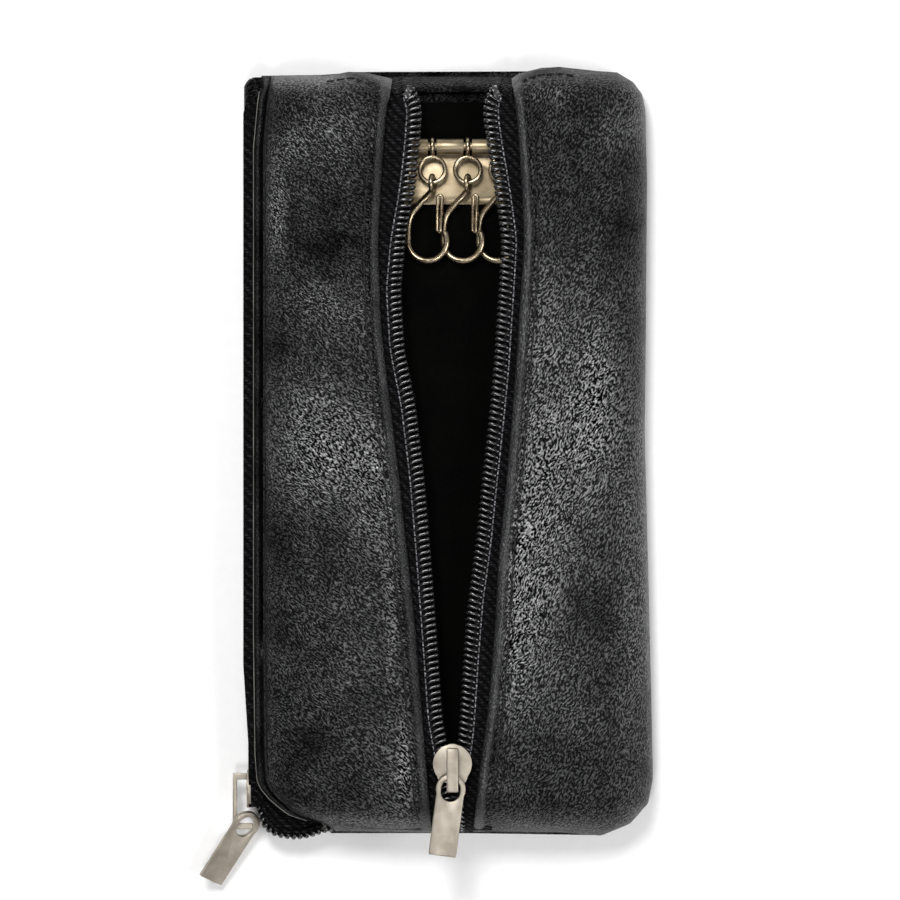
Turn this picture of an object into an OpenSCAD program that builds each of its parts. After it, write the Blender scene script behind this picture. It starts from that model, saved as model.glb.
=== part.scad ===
// Zip key case of soft leather, lying on its back with the long zip open.
// Six snap hooks hang from a bar inside; a second zip down the left side opens a flat rear pocket.
// X runs to the right, Y towards the hook end, Z up from the flat back.

/* [Case] */
// Width of the case
case_w = 73; // [72:0.5:75]
// Length of the case
case_l = 137.6; // [136:0.4:144]
// Corner radius of the back panel
corner_r = 7; // [5:0.5:9]
// Thickness of the leather
leather_t = 1.2; // [0.9:0.1:1.4]
// Thickness of the divider between the two pockets
divider_t = 1; // [0.8:0.1:1.2]
// Clear height of the rear pocket
pocket_h = 6; // [5.6:0.2:6.6]
// Clear height from the divider to the zip tape
key_room_h = 5.9; // [5.8:0.1:7]
// Thickness of the lining
lining_t = 0.4; // [0.3:0.05:0.5]

/* [Zips] */
// Thickness of the zip tape
tape_t = 0.6; // [0.5:0.05:0.7]
// Width of the tape from the coil outwards
tape_w = 14.5; // [13.5:0.5:15]
// Width of one half of the coil
coil_w = 1.8; // [1.5:0.1:1.8]
// Thickness of the coil
coil_t = 1.4; // [1.2:0.1:1.5]
// Distance from tooth to tooth
tooth_pitch = 1.1; // [1.1:0.1:1.6]
// Width of the slider
slider_w = 7; // [6.4:0.1:7.2]
// Length of the slider
slider_l = 6.8; // [6.6:0.2:8]
// Thickness of a slider plate
slider_plate_t = 0.8; // [0.6:0.1:0.9]

/* [Pullers] */
// Length of a puller
puller_l = 15; // [12:0.5:16]
// Width of a puller
puller_w = 5; // [4.6:0.1:5.4]
// Thickness of a puller
puller_t = 1; // [0.8:0.1:1.1]

/* [Keys] */
// Width of the key plate
plate_w = 41; // [40:0.5:43]
// Length of the key plate below the bar
plate_l = 10.4; // [8:0.2:11]
// Thickness of the key plate
plate_t = 0.6; // [0.5:0.05:0.65]
// Distance from the outer hooks to the ends of the plate
plate_end = 4.5; // [4.2:0.1:4.5]
// Radius of the bar
bar_r = 0.75; // [0.7:0.01:0.8]
// Radius of the hook wire
hook_wire_r = 0.6; // [0.55:0.01:0.62]
// Width of a hook across its bend
hook_w = 8.4; // [8.2:0.1:8.6]
// Length of a hook from its eye to its bend
hook_l = 16.4; // [15.6:0.2:17]

/* [Hidden] */

// Small gap between soft pieces, and the gap between metal pieces that move
soft_gap = 0.3;
run_gap = 0.15;
cut = 1;
fine = 48;

// Heights of the layers, from the flat back upwards
half_w = case_w / 2;
half_l = case_l / 2;
z_back = leather_t;
z_divider = z_back + pocket_h;
z_floor = z_divider + divider_t;
z_tape = z_floor + key_room_h;
z_coil = z_tape + tape_t / 2;
z_front = z_tape + tape_t + soft_gap;
z_top = z_front + leather_t;
z_seam = z_back + divider_t;
seam_gap = 0.1;

// Where the layers come down to the seams
side_reach = 1.2;
zip_in = 0.1;
left_x = -half_w + side_reach;
right_x = half_w;
side_zip_x = left_x + zip_in;
divider_left_x = side_zip_x + coil_t / 2 + zip_in;
fall_top = 5.2;
fall_bottom = 9;
divider_fall = 4.6;
left_round = 11;
right_round = 10;

// Outlines as shares of half the length and half the width
left_edge_shares = [[-1, -0.098], [-0.82, -0.123], [-0.66, -0.148], [-0.43, -0.182], [-0.27, -0.215],
    [-0.02, -0.266], [0.16, -0.311], [0.335, -0.347], [0.56, -0.362], [0.75, -0.342], [0.91, -0.322],
    [1, -0.289]];
right_edge_shares = [[-1, 0.123], [-0.82, 0.153], [-0.69, 0.192], [-0.46, 0.227], [-0.27, 0.247],
    [-0.07, 0.286], [0.14, 0.321], [0.38, 0.352], [0.56, 0.375], [0.74, 0.356], [0.91, 0.335],
    [1, 0.309]];
left_coil_shares = [[-0.86, -0.016], [-0.815, -0.022], [-0.76, -0.042], [-0.69, -0.065],
    [-0.46, -0.095], [-0.25, -0.125], [-0.06, -0.155], [0.13, -0.198], [0.275, -0.253],
    [0.432, -0.271], [0.565, -0.249], [0.69, -0.207], [0.8, -0.183], [0.9, -0.168]];
right_coil_shares = [[-0.86, 0.04], [-0.815, 0.046], [-0.76, 0.066], [-0.69, 0.078], [-0.54, 0.096],
    [-0.39, 0.118], [-0.235, 0.158], [-0.08, 0.187], [0.09, 0.222], [0.23, 0.247], [0.432, 0.272],
    [0.565, 0.286], [0.7, 0.251], [0.81, 0.215], [0.9, 0.192]];
zip_x = 0.012 * half_w;
zip_bottom_y = -0.86 * half_l;
zip_join_y = -0.815 * half_l;
zip_wide_y = 0.432 * half_l;
zip_top_y = 0.9 * half_l;

// Rise from a seam, 0 at the seam and 1 on the plateau
function rise(d, fall) = d >= fall ? 1 : sin(90 * max(d, 0) / fall);
function round_in(y, r) = let (d = max(0, r - (half_l - abs(y)))) r - sqrt(max(0, r * r - d * d));
function front_rise(y) = rise(half_l - y, fall_top) * rise(half_l + y, fall_bottom);
function divider_rise(y) = rise(half_l - y, divider_fall) * rise(half_l + y, divider_fall);
function floor_z(y) = z_seam + pocket_h * divider_rise(y);
function top_z(y, drop) = let (low = z_seam + seam_gap + leather_t) low - drop + (z_top - low) * front_rise(y);
function left_edge(y) = half_w * lookup(y / half_l, left_edge_shares);
function right_edge(y) = half_w * lookup(y / half_l, right_edge_shares);
function coil_x(side, y) = half_w * lookup(y / half_l, side < 0 ? left_coil_shares : right_coil_shares);

// A sheet between two grids of points, rows from low to high Y, columns from low to high X
module sheet(under, over) {
    rows = len(under);
    cols = len(under[0]);
    n = rows * cols;
    function at(i, j) = j * cols + i;
    points = concat([for (row = under) each row], [for (row = over) each row]);
    flat = [for (j = [0:rows - 2], i = [0:cols - 2], half = [0, 1])
        half == 0 ? [at(i, j), at(i + 1, j), at(i + 1, j + 1)] : [at(i, j), at(i + 1, j + 1), at(i, j + 1)]];
    lid = [for (f = flat) [n + f[0], n + f[2], n + f[1]]];
    low = [for (j = [0:rows - 2], half = [0, 1]) let (a = at(0, j), d = at(0, j + 1))
        half == 0 ? [a, d, n + d] : [a, n + d, n + a]];
    high = [for (j = [0:rows - 2], half = [0, 1]) let (a = at(cols - 1, j), d = at(cols - 1, j + 1))
        half == 0 ? [a, n + d, d] : [a, n + a, n + d]];
    near = [for (i = [0:cols - 2], half = [0, 1]) let (a = at(i, 0), b = at(i + 1, 0))
        half == 0 ? [b, a, n + a] : [b, n + a, n + b]];
    far = [for (i = [0:cols - 2], half = [0, 1]) let (a = at(i, rows - 1), b = at(i + 1, rows - 1))
        half == 0 ? [b, n + a, a] : [b, n + b, n + a]];
    polyhedron(points, concat(flat, lid, low, high, near, far), convexity = 6);
}

// Rows across a panel, closer together near the ends
panel_rows = 24;
function row_y(j, low, high) = (low + high) / 2 - (high - low) / 2 * cos(180 * j / panel_rows);

// Section of a front panel: a quarter round up from its seam, then a flat run to the zip edge
round_cols = 7;
flat_cols = 2;
// side is -1 or 1, x0 the seam, x1 the zip edge, r the width of the quarter round
function section(y, side, x0, x1, r, base, drop, inset, t) = let (top = top_z(y, drop)) [
    for (i = [0:round_cols]) let (a = 90 * i / round_cols)
        [x0 - side * (inset + (r - inset) * (1 - cos(a)) + t * cos(a)), y, base + (top - base - t) * sin(a)],
    for (i = [1:flat_cols]) [x0 - side * r + (x1 - x0 + side * r) * i / flat_cols, y, top - t]];
function reversed(list) = [for (i = [len(list) - 1:-1:0]) list[i]];

module front_panel(side, drop, inset, t, edge_back, low, high) {
    function line(y, t) = let (
        x0 = side < 0 ? left_x + round_in(y, corner_r) : right_x - round_in(y, corner_r),
        x1 = (side < 0 ? left_edge(y) : right_edge(y)) + side * edge_back,
        r = side < 0 ? left_round : right_round,
        base = side < 0 ? floor_z(y) : z_back,
        s = section(y, side, x0, x1, r, base, drop, inset, t)) side < 0 ? s : reversed(s);
    under = [for (j = [0:panel_rows]) line(row_y(j, low, high), t)];
    over = [for (j = [0:panel_rows]) line(row_y(j, low, high), 0)];
    sheet(under, over);
}

module front_left_panel() { color("#17171a") front_panel(-1, 0, 0, leather_t, 0, -half_l, half_l); }
module front_right_panel() { color("#17171a") front_panel(1, 0, 0, leather_t, 0, -half_l, half_l); }

// The lining lies below the zip tape and stays back from the zip edge
lining_drop = leather_t + tape_t + 2 * soft_gap;
lining_back = 3;
lining_end = 9.5;
module front_lining(side) {
    front_panel(side, lining_drop, leather_t + soft_gap, lining_t, lining_back,
        -half_l + lining_end, half_l - lining_end);
}
module front_left_lining() { color("#0e0e10") front_lining(-1); }
module front_right_lining() { color("#0e0e10") front_lining(1); }

// Flat back, straight along the side zip and rounded at its corners
module back_outline(x0, x1, r) {
    polygon(concat(
        [for (a = [0:15:90]) [x1 - r + r * sin(a), half_l - r + r * cos(a)]],
        [for (a = [0:15:90]) [x1 - r + r * cos(a), -half_l + r - r * sin(a)]],
        [for (a = [0:15:90]) [x0 + r - r * sin(a), -half_l + r - r * cos(a)]],
        [for (a = [0:15:90]) [x0 + r - r * cos(a), half_l - r + r * sin(a)]]));
}
module back_panel() {
    color("#17171a") linear_extrude(leather_t) back_outline(divider_left_x, right_x, corner_r);
}

// The divider bulges up over the rear pocket and is pinched to the back at the other three sides
divider_right_x = right_x - right_round + run_gap;
divider_cols = 12;
divider_right_fall = 9;
module divider() {
    function line(y, up) = let (x0 = divider_left_x + round_in(y, corner_r),
        x1 = divider_right_x - round_in(y, corner_r)) [
        for (i = [0:divider_cols]) let (a = i / divider_cols, x = x0 + (x1 - x0) * (1 - pow(1 - a, 2)))
            [x, y, z_back + up + pocket_h * divider_rise(y) * rise(x1 - x, divider_right_fall)]];
    color("#1b1b1e") sheet(
        [for (j = [0:panel_rows]) line(row_y(j, -half_l, half_l), 0)],
        [for (j = [0:panel_rows]) line(row_y(j, -half_l, half_l), divider_t)]);
}

// Lining on the divider, below the key plate
floor_lining_side = 12;
floor_lining_end = 8;
module divider_lining() {
    low = -half_l + floor_lining_end;
    high = plate_low_y - soft_gap;
    wide = case_w - 2 * floor_lining_side;
    color("#0e0e10") translate([-wide / 2, low, z_floor]) cube([wide, high - low, lining_t]);
}

// One half of the coil from y0 to y1, its teeth towards the middle of the zip
tooth_depth = 0.5;
function coil_outline(side, y0, y1) = let (
    n = floor((y1 - y0) / tooth_pitch), p = (y1 - y0) / n, w = coil_w / 2) concat(
    [for (k = [0:n - 1], q = [0:3]) let (y = y0 + p * (k + (q == 0 ? 0 : q == 3 ? 1 : 0.5)))
        [coil_x(side, y) - side * (q < 2 ? w : w - tooth_depth), y]],
    [for (k = [n:-4:0]) let (y = y0 + p * k) [coil_x(side, y) + side * w, y]],
    n % 4 == 0 ? [] : [[coil_x(side, y0) + side * w, y0]]);
module coil_half(side, y0, y1) {
    translate([0, 0, z_coil - coil_t / 2]) linear_extrude(coil_t) polygon(coil_outline(side, y0, y1));
}
// The tape of one side, from the outer edge of its coil outwards
module tape_half(side, y0, y1) {
    n = floor((y1 - y0) / tooth_pitch);
    p = (y1 - y0) / n;
    ks = concat([for (k = [n:-4:0]) k], n % 4 == 0 ? [] : [0]);
    inner = [for (k = ks) let (y = y0 + p * k) [coil_x(side, y) + side * coil_w / 2, y]];
    outer = [for (q = reversed(inner)) [q[0] + side * tape_w, q[1]]];
    translate([0, 0, z_tape]) linear_extrude(tape_t) polygon(concat(inner, outer));
}
module left_coil_lower() { color("#26262a") coil_half(-1, zip_join_y, zip_wide_y); }
module left_coil_upper() { color("#26262a") coil_half(-1, zip_wide_y, zip_top_y); }
module right_coil_lower() { color("#26262a") coil_half(1, zip_join_y, zip_wide_y); }
module right_coil_upper() { color("#26262a") coil_half(1, zip_wide_y, zip_top_y); }
module left_tape_lower() { color("#111113") tape_half(-1, zip_join_y, zip_wide_y); }
module left_tape_upper() { color("#111113") tape_half(-1, zip_wide_y, zip_top_y); }
module right_tape_lower() { color("#111113") tape_half(1, zip_join_y, zip_wide_y); }
module right_tape_upper() { color("#111113") tape_half(1, zip_wide_y, zip_top_y); }
module closed_chain() {
    color("#26262a") for (side = [-1, 1]) coil_half(side, zip_bottom_y, zip_join_y);
}

// Tape round the closed chain, and its end that goes down inside the bottom seam
panel_ys = [for (j = [0:panel_rows]) row_y(j, -half_l, half_l)];
panel_tops = [for (y = panel_ys) [y, top_z(y, 0)]];
bottom_tape_in = 3.6;
module bottom_tape() {
    function line(y, up) = let (x0 = left_edge(y) - lining_back, x1 = right_edge(y) + lining_back,
        z = lookup(y, panel_tops) - leather_t - soft_gap - tape_t + up)
        [for (i = [0:2]) [x0 + (x1 - x0) * i / 2, y, z]];
    low = -half_l + bottom_tape_in;
    high = zip_bottom_y;
    ys = concat([low], [for (y = panel_ys) if (y > low && y < high) y], [high]);
    color("#111113") {
        sheet([for (y = ys) line(y, 0)], [for (y = ys) line(y, tape_t)]);
        for (side = [-1, 1]) tape_half(side, zip_bottom_y, zip_join_y);
    }
}

// Metal stops at the top end of each coil
stop_l = 1.6;
module top_stop(side) {
    color("#8c8474") translate([coil_x(side, zip_top_y) - coil_w / 2, zip_top_y, z_coil - coil_t / 2])
        cube([coil_w, stop_l, coil_t]);
}
module left_top_stop() { top_stop(-1); }
module right_top_stop() { top_stop(1); }

// A slider about the middle of its coil: nose towards +Y, plates above and below
flange_t = 0.5;
flange_share = 0.44;
flange_l = 2.4;
slider_tail_w = 4.8;
post_r = 0.75;
plate_up = coil_t / 2 + run_gap;
slider_end = slider_l / 2;
module slider_plate(w, tail_w) {
    linear_extrude(slider_plate_t) {
        translate([0, slider_end - w / 2]) circle(d = w, $fn = fine);
        polygon([[-w / 2, slider_end - w / 2], [w / 2, slider_end - w / 2],
            [tail_w / 2, -slider_end], [-tail_w / 2, -slider_end]]);
    }
}
module slider_shell(w, tail_w, lower_w, lower_tail_w) {
    translate([0, 0, plate_up]) slider_plate(w, tail_w);
    translate([0, 0, -plate_up - slider_plate_t]) slider_plate(lower_w, lower_tail_w);
    translate([0, slider_end - 2 * post_r, -plate_up - slider_plate_t / 2])
        cylinder(r = post_r, h = 2 * plate_up + slider_plate_t, $fn = fine);
}
module slider_flanges(x_in, l) {
    wall = plate_up - tape_t / 2 - run_gap;
    for (side = [-1, 1], up = [-1, 1])
        translate([side > 0 ? x_in : -x_in - flange_t, -slider_end * flange_share,
            up > 0 ? plate_up - wall : -plate_up]) cube([flange_t, l, wall]);
}

// The bridge rises at the nose, runs back over the tail and turns down through the puller's eye
bridge_w = 2.1;
bridge_t = 0.8;
bridge_foot = 1.2;
bridge_leg = 1.1;
pivot_up = 0.9;
overhang = 1.7;
bridge_back = slider_end + overhang;
eye_r = 1.7;
eye_wall = 1;
pivot_in = 2.8;
pivot_back = bridge_back - pivot_in;
pivot_z = plate_up + slider_plate_t + pivot_up;
bridge_z = pivot_z + pivot_up;
module bridge(w, back, leg_drop) {
    foot_y = slider_end - bridge_foot / 2;
    translate([-w / 2, foot_y - bridge_foot, plate_up + slider_plate_t])
        cube([w, bridge_foot, bridge_z - plate_up - slider_plate_t + bridge_t]);
    translate([-w / 2, -back, bridge_z]) cube([w, foot_y + back, bridge_t]);
    translate([-w / 2, -back, bridge_z - leg_drop]) cube([w, bridge_leg, leg_drop + bridge_t]);
}
// A puller from its pivot, the middle of the bar above its eye, towards -Y
eye_slot = 0.5;
puller_bar = 0.6;
module puller() {
    eye_y = -puller_bar - eye_r;
    top_r = eye_r + eye_wall;
    difference() {
        translate([0, 0, -puller_t / 2]) linear_extrude(puller_t) {
            translate([0, eye_y]) circle(r = top_r, $fn = fine);
            translate([-puller_w / 2, -puller_l + puller_bar])
                square([puller_w, puller_l - puller_bar + eye_y]);
        }
        translate([0, 0, -puller_t / 2 - cut]) linear_extrude(puller_t + 2 * cut) {
            translate([0, eye_y]) circle(r = eye_r, $fn = fine);
            translate([0, eye_y - eye_slot]) circle(r = eye_r, $fn = fine);
            translate([-eye_r, eye_y - eye_slot]) square([2 * eye_r, eye_slot]);
        }
    }
}

slider_ahead = 0.6;
slider_y = zip_join_y + slider_ahead;
puller_lean = 7.4;
module at_slider() { translate([zip_x, slider_y, z_coil]) children(); }
module slider_body() {
    color("#b8b0a0") at_slider() {
        slider_shell(slider_w, slider_tail_w, slider_w, slider_tail_w);
        slider_flanges(slider_w / 2 - 2 * flange_t, flange_l);
    }
}
module slider_bridge() { color("#b8b0a0") at_slider() bridge(bridge_w, bridge_back, pivot_up + puller_t / 2); }
module slider_puller() {
    color("#b8b0a0") at_slider() translate([0, -pivot_back, pivot_z]) rotate([0, 0, -puller_lean]) puller();
}

// Side zip: its two coil halves face each other across the mouth of the rear pocket
side_coil_w = 1.4;
side_mouth = 4.2;
side_z = z_back + pocket_h / 2;
side_top_y = 0.92 * half_l;
side_join_y = -0.94 * half_l;
side_wide_y = -0.78 * half_l;
side_chain_end_y = -0.935 * half_l;
side_flange_w = 9;
side_tape_in = 5.6;
side_tape_end_y = -half_l + side_tape_in;
side_open = (side_mouth + side_coil_w) / 2;
side_mesh_gap = 0.05;
side_closed = side_coil_w / 2 + side_mesh_gap;
function side_half(y) = y > side_wide_y ? side_open : y < side_join_y ? side_closed
    : side_closed + (side_open - side_closed) * (y - side_join_y) / (side_wide_y - side_join_y);
// One half of the side coil, up is 1 for the half under the divider and -1 for the one on the back
function side_outline(up, y0, y1) = let (
    n = floor((y1 - y0) / tooth_pitch), p = (y1 - y0) / n, w = side_coil_w / 2) concat(
    [for (k = [0:n - 1], q = [0:3]) let (y = y0 + p * (k + (q == 0 ? 0 : q == 3 ? 1 : 0.5)))
        [side_z + up * (side_half(y) - (q < 2 ? w : w - tooth_depth)), y]],
    [for (k = [n:-4:0]) let (y = y0 + p * k) [side_z + up * (side_half(y) + w), y]],
    n % 4 == 0 ? [] : [[side_z + up * (side_half(y0) + w), y0]]);
module side_coil(up) {
    translate([side_zip_x - coil_t / 2, 0, 0]) rotate([0, -90, 0]) mirror([0, 0, 1])
        linear_extrude(coil_t) polygon(side_outline(up, side_chain_end_y, side_top_y));
}
module side_coil_upper() { color("#26262a") side_coil(1); }
module side_coil_lower() { color("#26262a") side_coil(-1); }
module side_tape(z) {
    translate([divider_left_x, side_tape_end_y, z]) cube([side_flange_w, side_top_y - side_tape_end_y, tape_t]);
}
module side_tape_upper() { color("#111113") side_tape(z_divider - tape_t); }
module side_tape_lower() { color("#111113") side_tape(z_back); }
// Leather end tab over the top of the side zip
tab_l = 4.7;
module side_stop() {
    color("#17171a") translate([side_zip_x - coil_t / 2, side_top_y, z_back / 2])
        cube([coil_t, tab_l - soft_gap * 2, pocket_h + leather_t]);
}

side_slider_y = -0.88 * half_l;
side_bridge_w = 0.6;
side_overhang = 4;
side_leg_drop = 2.8;
side_inner_w = 3.6;
side_inner_tail_w = 3;
side_puller_turn = 32.7;
side_puller_roll = 36;
side_puller_drop = 7;
// Middle of the side puller's eye, on the leg of its bridge
function side_eye() = [side_zip_x - bridge_z + side_leg_drop / 2,
    side_slider_y - slider_end - side_overhang + bridge_leg / 2, side_z];
// The side slider lies on its edge, its outer plate facing away from the case
module at_side_slider() {
    translate([side_zip_x, side_slider_y, side_z]) rotate([0, -90, 0]) children();
}
module side_slider_body() {
    color("#b8b0a0") at_side_slider()
        slider_shell(slider_w - 2 * run_gap, slider_tail_w, side_inner_w, side_inner_tail_w);
}
module side_slider_bridge() {
    color("#b8b0a0") at_side_slider() bridge(side_bridge_w, slider_end + side_overhang, side_leg_drop);
}
module side_puller() {
    color("#b8b0a0") translate(side_eye()) rotate([0, 0, -side_puller_turn])
        rotate([side_puller_drop, 0, 0]) rotate([0, side_puller_roll, 0])
            translate([0, puller_bar + eye_r + eye_slot / 2, 0]) puller();
}

// Key row: plate, barrel knuckles round the bar, links, snap hooks and gates
bar_y = 0.81 * half_l;
knuckle_r = 1.4;
link_gap = 1.6;
link_wire_r = 0.4;
loop_r = 1.3;
ring_r = 2.3;
link_neck = 0.6;
eye_loop_r = 1.3;
eye_wire_r = 0.45;
eye_gap = 0.35;
plate_back = 2.2;
bar_z = z_floor + plate_t + eye_loop_r + eye_wire_r + run_gap;
plate_high_y = bar_y - plate_back;
plate_low_y = bar_y - plate_l;
hooks = 6;
hook_pitch = (plate_w - 2 * plate_end) / (hooks - 1);
function hook_x(i) = (i - (hooks + 1) / 2) * hook_pitch;
rivet_r = 0.6;
rivet_in = 2;
rivet_head = 1.2;
rivet_head_t = 0.4;
module key_plate() {
    color("#b3a68e") difference() {
        union() {
            translate([0, 0, z_floor]) linear_extrude(plate_t) union() {
                translate([-plate_w / 2, plate_low_y]) square([plate_w, plate_high_y - plate_low_y]);
                for (i = [0:hooks]) translate([knuckle_x(i), plate_high_y]) square([knuckle_width(i), bar_y - plate_high_y]);
            }
            for (i = [0:hooks]) {
                translate([knuckle_x(i), bar_y, bar_z]) rotate([0, 90, 0])
                    cylinder(r = knuckle_r, h = knuckle_width(i), $fn = fine);
                translate([knuckle_x(i), bar_y - plate_t, z_floor])
                    cube([knuckle_width(i), 2 * plate_t, bar_z - z_floor]);
            }
        }
        translate([-plate_w / 2 - cut, bar_y, bar_z]) rotate([0, 90, 0])
            cylinder(r = bar_r + run_gap / 3, h = plate_w + 2 * cut, $fn = fine);
        for (side = [-1, 1]) translate([side * (plate_w / 2 - rivet_in), plate_low_y + rivet_in, z_floor - cut])
            cylinder(r = rivet_r + run_gap / 3, h = plate_t + 2 * cut, $fn = fine);
    }
}
function knuckle_x(i) = i == 0 ? -plate_w / 2 : hook_x(i) + link_gap / 2;
function knuckle_width(i) = (i == hooks ? plate_w / 2 : hook_x(i + 1) - link_gap / 2) - knuckle_x(i);
bar_head_t = 0.6;
module key_bar() {
    color("#b3a68e") {
        translate([-plate_w / 2 - bar_head_t, bar_y, bar_z]) rotate([0, 90, 0])
            cylinder(r = bar_r, h = plate_w + 2 * bar_head_t, $fn = fine);
        for (x = [-plate_w / 2 - run_gap - bar_head_t, plate_w / 2 + run_gap])
            translate([x, bar_y, bar_z]) rotate([0, 90, 0]) cylinder(r = knuckle_r - run_gap, h = bar_head_t, $fn = fine);
    }
}
module plate_rivets() {
    color("#8c8474") for (side = [-1, 1])
        translate([side * (plate_w / 2 - rivet_in), plate_low_y + rivet_in, z_floor]) {
            cylinder(r = rivet_r, h = plate_t + rivet_head_t, $fn = fine);
            translate([0, 0, plate_t]) cylinder(r = rivet_head, h = rivet_head_t, $fn = fine);
        }
}

// A link: a loop round the bar, a neck and a ring in the plane of the case
ring_y = -loop_r - link_neck - ring_r;
module link(i) {
    color("#b3a68e") translate([hook_x(i), bar_y, bar_z]) {
        rotate([0, 90, 0]) rotate_extrude($fn = fine) translate([loop_r, 0]) circle(r = link_wire_r, $fn = fine / 2);
        translate([0, -loop_r, 0]) rotate([90, 0, 0]) cylinder(r = link_wire_r, h = link_neck, $fn = fine);
        translate([0, ring_y, 0]) rotate_extrude($fn = fine) translate([ring_r, 0]) circle(r = link_wire_r, $fn = fine / 2);
    }
}

// A hook in its own plane, its eye at the origin and its bend towards -Y
eye_back = eye_loop_r - eye_wire_r - link_wire_r - eye_gap;
bend_r = hook_w / 2 - hook_wire_r;
bend_x = -0.9;
bend_y = -(hook_l - eye_loop_r - eye_wire_r - bend_r - hook_wire_r);
tip_angle = 25;
spine_x = bend_x - bend_r;
shoulder_share = 0.62;
function tip() = [bend_x + bend_r * cos(tip_angle), bend_y + bend_r * sin(tip_angle)];
// A wire of round section along a path in one plane, open with flat ends or closed to a ring
wire_sides = 10;
function along(path, closed, k) = let (n = len(path),
    before = closed ? path[(k + n - 1) % n] : path[max(k - 1, 0)],
    after = closed ? path[(k + 1) % n] : path[min(k + 1, n - 1)], d = after - before) d / norm(d);
module wire(path, r, closed = false) {
    n = len(path);
    m = wire_sides;
    points = [for (k = [0:n - 1], q = [0:m - 1]) let (d = along(path, closed, k), a = 360 * q / m)
        [path[k][0] + d[1] * r * cos(a), path[k][1] - d[0] * r * cos(a), r * sin(a)]];
    walls = [for (k = [0:n - (closed ? 1 : 2)], q = [0:m - 1], half = [0, 1]) let (
        i = k * m, j = (k + 1) % n * m, p = (q + 1) % m)
        half == 0 ? [i + q, j + p, j + q] : [i + q, i + p, j + p]];
    ends = closed ? [] : [[for (q = [m - 1:-1:0]) q], [for (q = [0:m - 1]) (n - 1) * m + q]];
    polyhedron(points, concat(walls, ends), convexity = 6);
}
// Points of a curve that rounds the corners of a path
function curve(p, steps) = [for (k = [0:len(p) - 2], s = [0:steps - 1]) let (
    a = p[max(k - 1, 0)], b = p[k], c = p[k + 1], d = p[min(k + 2, len(p) - 1)], t = s / steps)
    b + t * (c - a) / 2 + t * t * (2 * a - 5 * b + 4 * c - d) / 2 + t * t * t * (3 * b - a - 3 * c + d) / 2];
bend_steps = 16;
module hook_shape() {
    neck = [0, -eye_loop_r];
    shoulder = [spine_x + hook_wire_r / 2, bend_y * shoulder_share];
    bend = [for (k = [0:bend_steps]) let (a = 180 + (180 + tip_angle) * k / bend_steps)
        [bend_x + bend_r * cos(a), bend_y + bend_r * sin(a)]];
    rotate([0, 90, 0]) rotate_extrude($fn = fine) translate([eye_loop_r, 0]) circle(r = eye_wire_r, $fn = fine / 2);
    wire(concat(curve([neck, (neck + shoulder) / 2 - [hook_wire_r / 2, 0], shoulder, bend[0]], 4), bend), hook_wire_r);
}

// A sprung gate: a hairpin of thin wire from beside the eye to the tip
gate_wire_r = 0.3;
gate_side = 1.4;
gate_down = 0.9;
gate_top = [gate_side, -eye_loop_r - gate_down];
gate_spread = 0.45;
gate_gap = 0.25;
gate_clear = gate_wire_r + hook_wire_r + gate_gap;
function gate_end() = tip() - [gate_clear, 0];
module gate_shape() {
    a = gate_top - [gate_spread, 0];
    b = gate_top + [gate_spread, 0];
    e = gate_end();
    f = e + [gate_wire_r, 2 * gate_wire_r];
    r = gate_wire_r;
    wire([a + [0, -r], a + [r, 0], b + [-r, 0], b + [0, -r], f + [0, r], f - [0, r], e + [r, 0],
        e + [-r, r]], r, true);
}

// The two hooks at the left lie fanned out, the others overlap like shingles with the right side up
hook_stack = 1.385;
hook_roll = asin(hook_stack / hook_pitch);
first_turn = -35;
second_turn = -18;
function hook_turn(i) = i == 1 ? first_turn : i == 2 ? second_turn : 0;
function hook_tilt(i) = i > 2 ? hook_roll : 0;
module at_hook(i) {
    translate([hook_x(i), bar_y + ring_y - ring_r, bar_z]) rotate([0, 0, hook_turn(i)])
        translate([0, -eye_back, 0]) rotate([0, -hook_tilt(i), 0]) children();
}
module hook(i) { color("#c0b49c") at_hook(i) hook_shape(); }
module gate(i) { color("#a89a80") at_hook(i) gate_shape(); }

module link_1() { link(1); }
module link_2() { link(2); }
module link_3() { link(3); }
module link_4() { link(4); }
module link_5() { link(5); }
module link_6() { link(6); }
module hook_1() { hook(1); }
module hook_2() { hook(2); }
module hook_3() { hook(3); }
module hook_4() { hook(4); }
module hook_5() { hook(5); }
module hook_6() { hook(6); }
module gate_1() { gate(1); }
module gate_2() { gate(2); }
module gate_3() { gate(3); }
module gate_4() { gate(4); }
module gate_5() { gate(5); }
module gate_6() { gate(6); }

back_panel();
divider();
divider_lining();
front_left_panel();
front_right_panel();
front_left_lining();
front_right_lining();
left_tape_lower();
left_tape_upper();
right_tape_lower();
right_tape_upper();
left_coil_lower();
left_coil_upper();
right_coil_lower();
right_coil_upper();
closed_chain();
bottom_tape();
left_top_stop();
right_top_stop();
slider_body();
slider_bridge();
slider_puller();
side_tape_upper();
side_tape_lower();
side_coil_upper();
side_coil_lower();
side_stop();
side_slider_body();
side_slider_bridge();
side_puller();
key_plate();
key_bar();
plate_rivets();
link_1();
link_2();
link_3();
link_4();
link_5();
link_6();
hook_1();
hook_2();
hook_3();
hook_4();
hook_5();
hook_6();
gate_1();
gate_2();
gate_3();
gate_4();
gate_5();
gate_6();
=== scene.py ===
"""Looks of a black leather zip key case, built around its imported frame. Lengths are in metres."""
import math

import bmesh
import bpy
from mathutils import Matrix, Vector, noise


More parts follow.
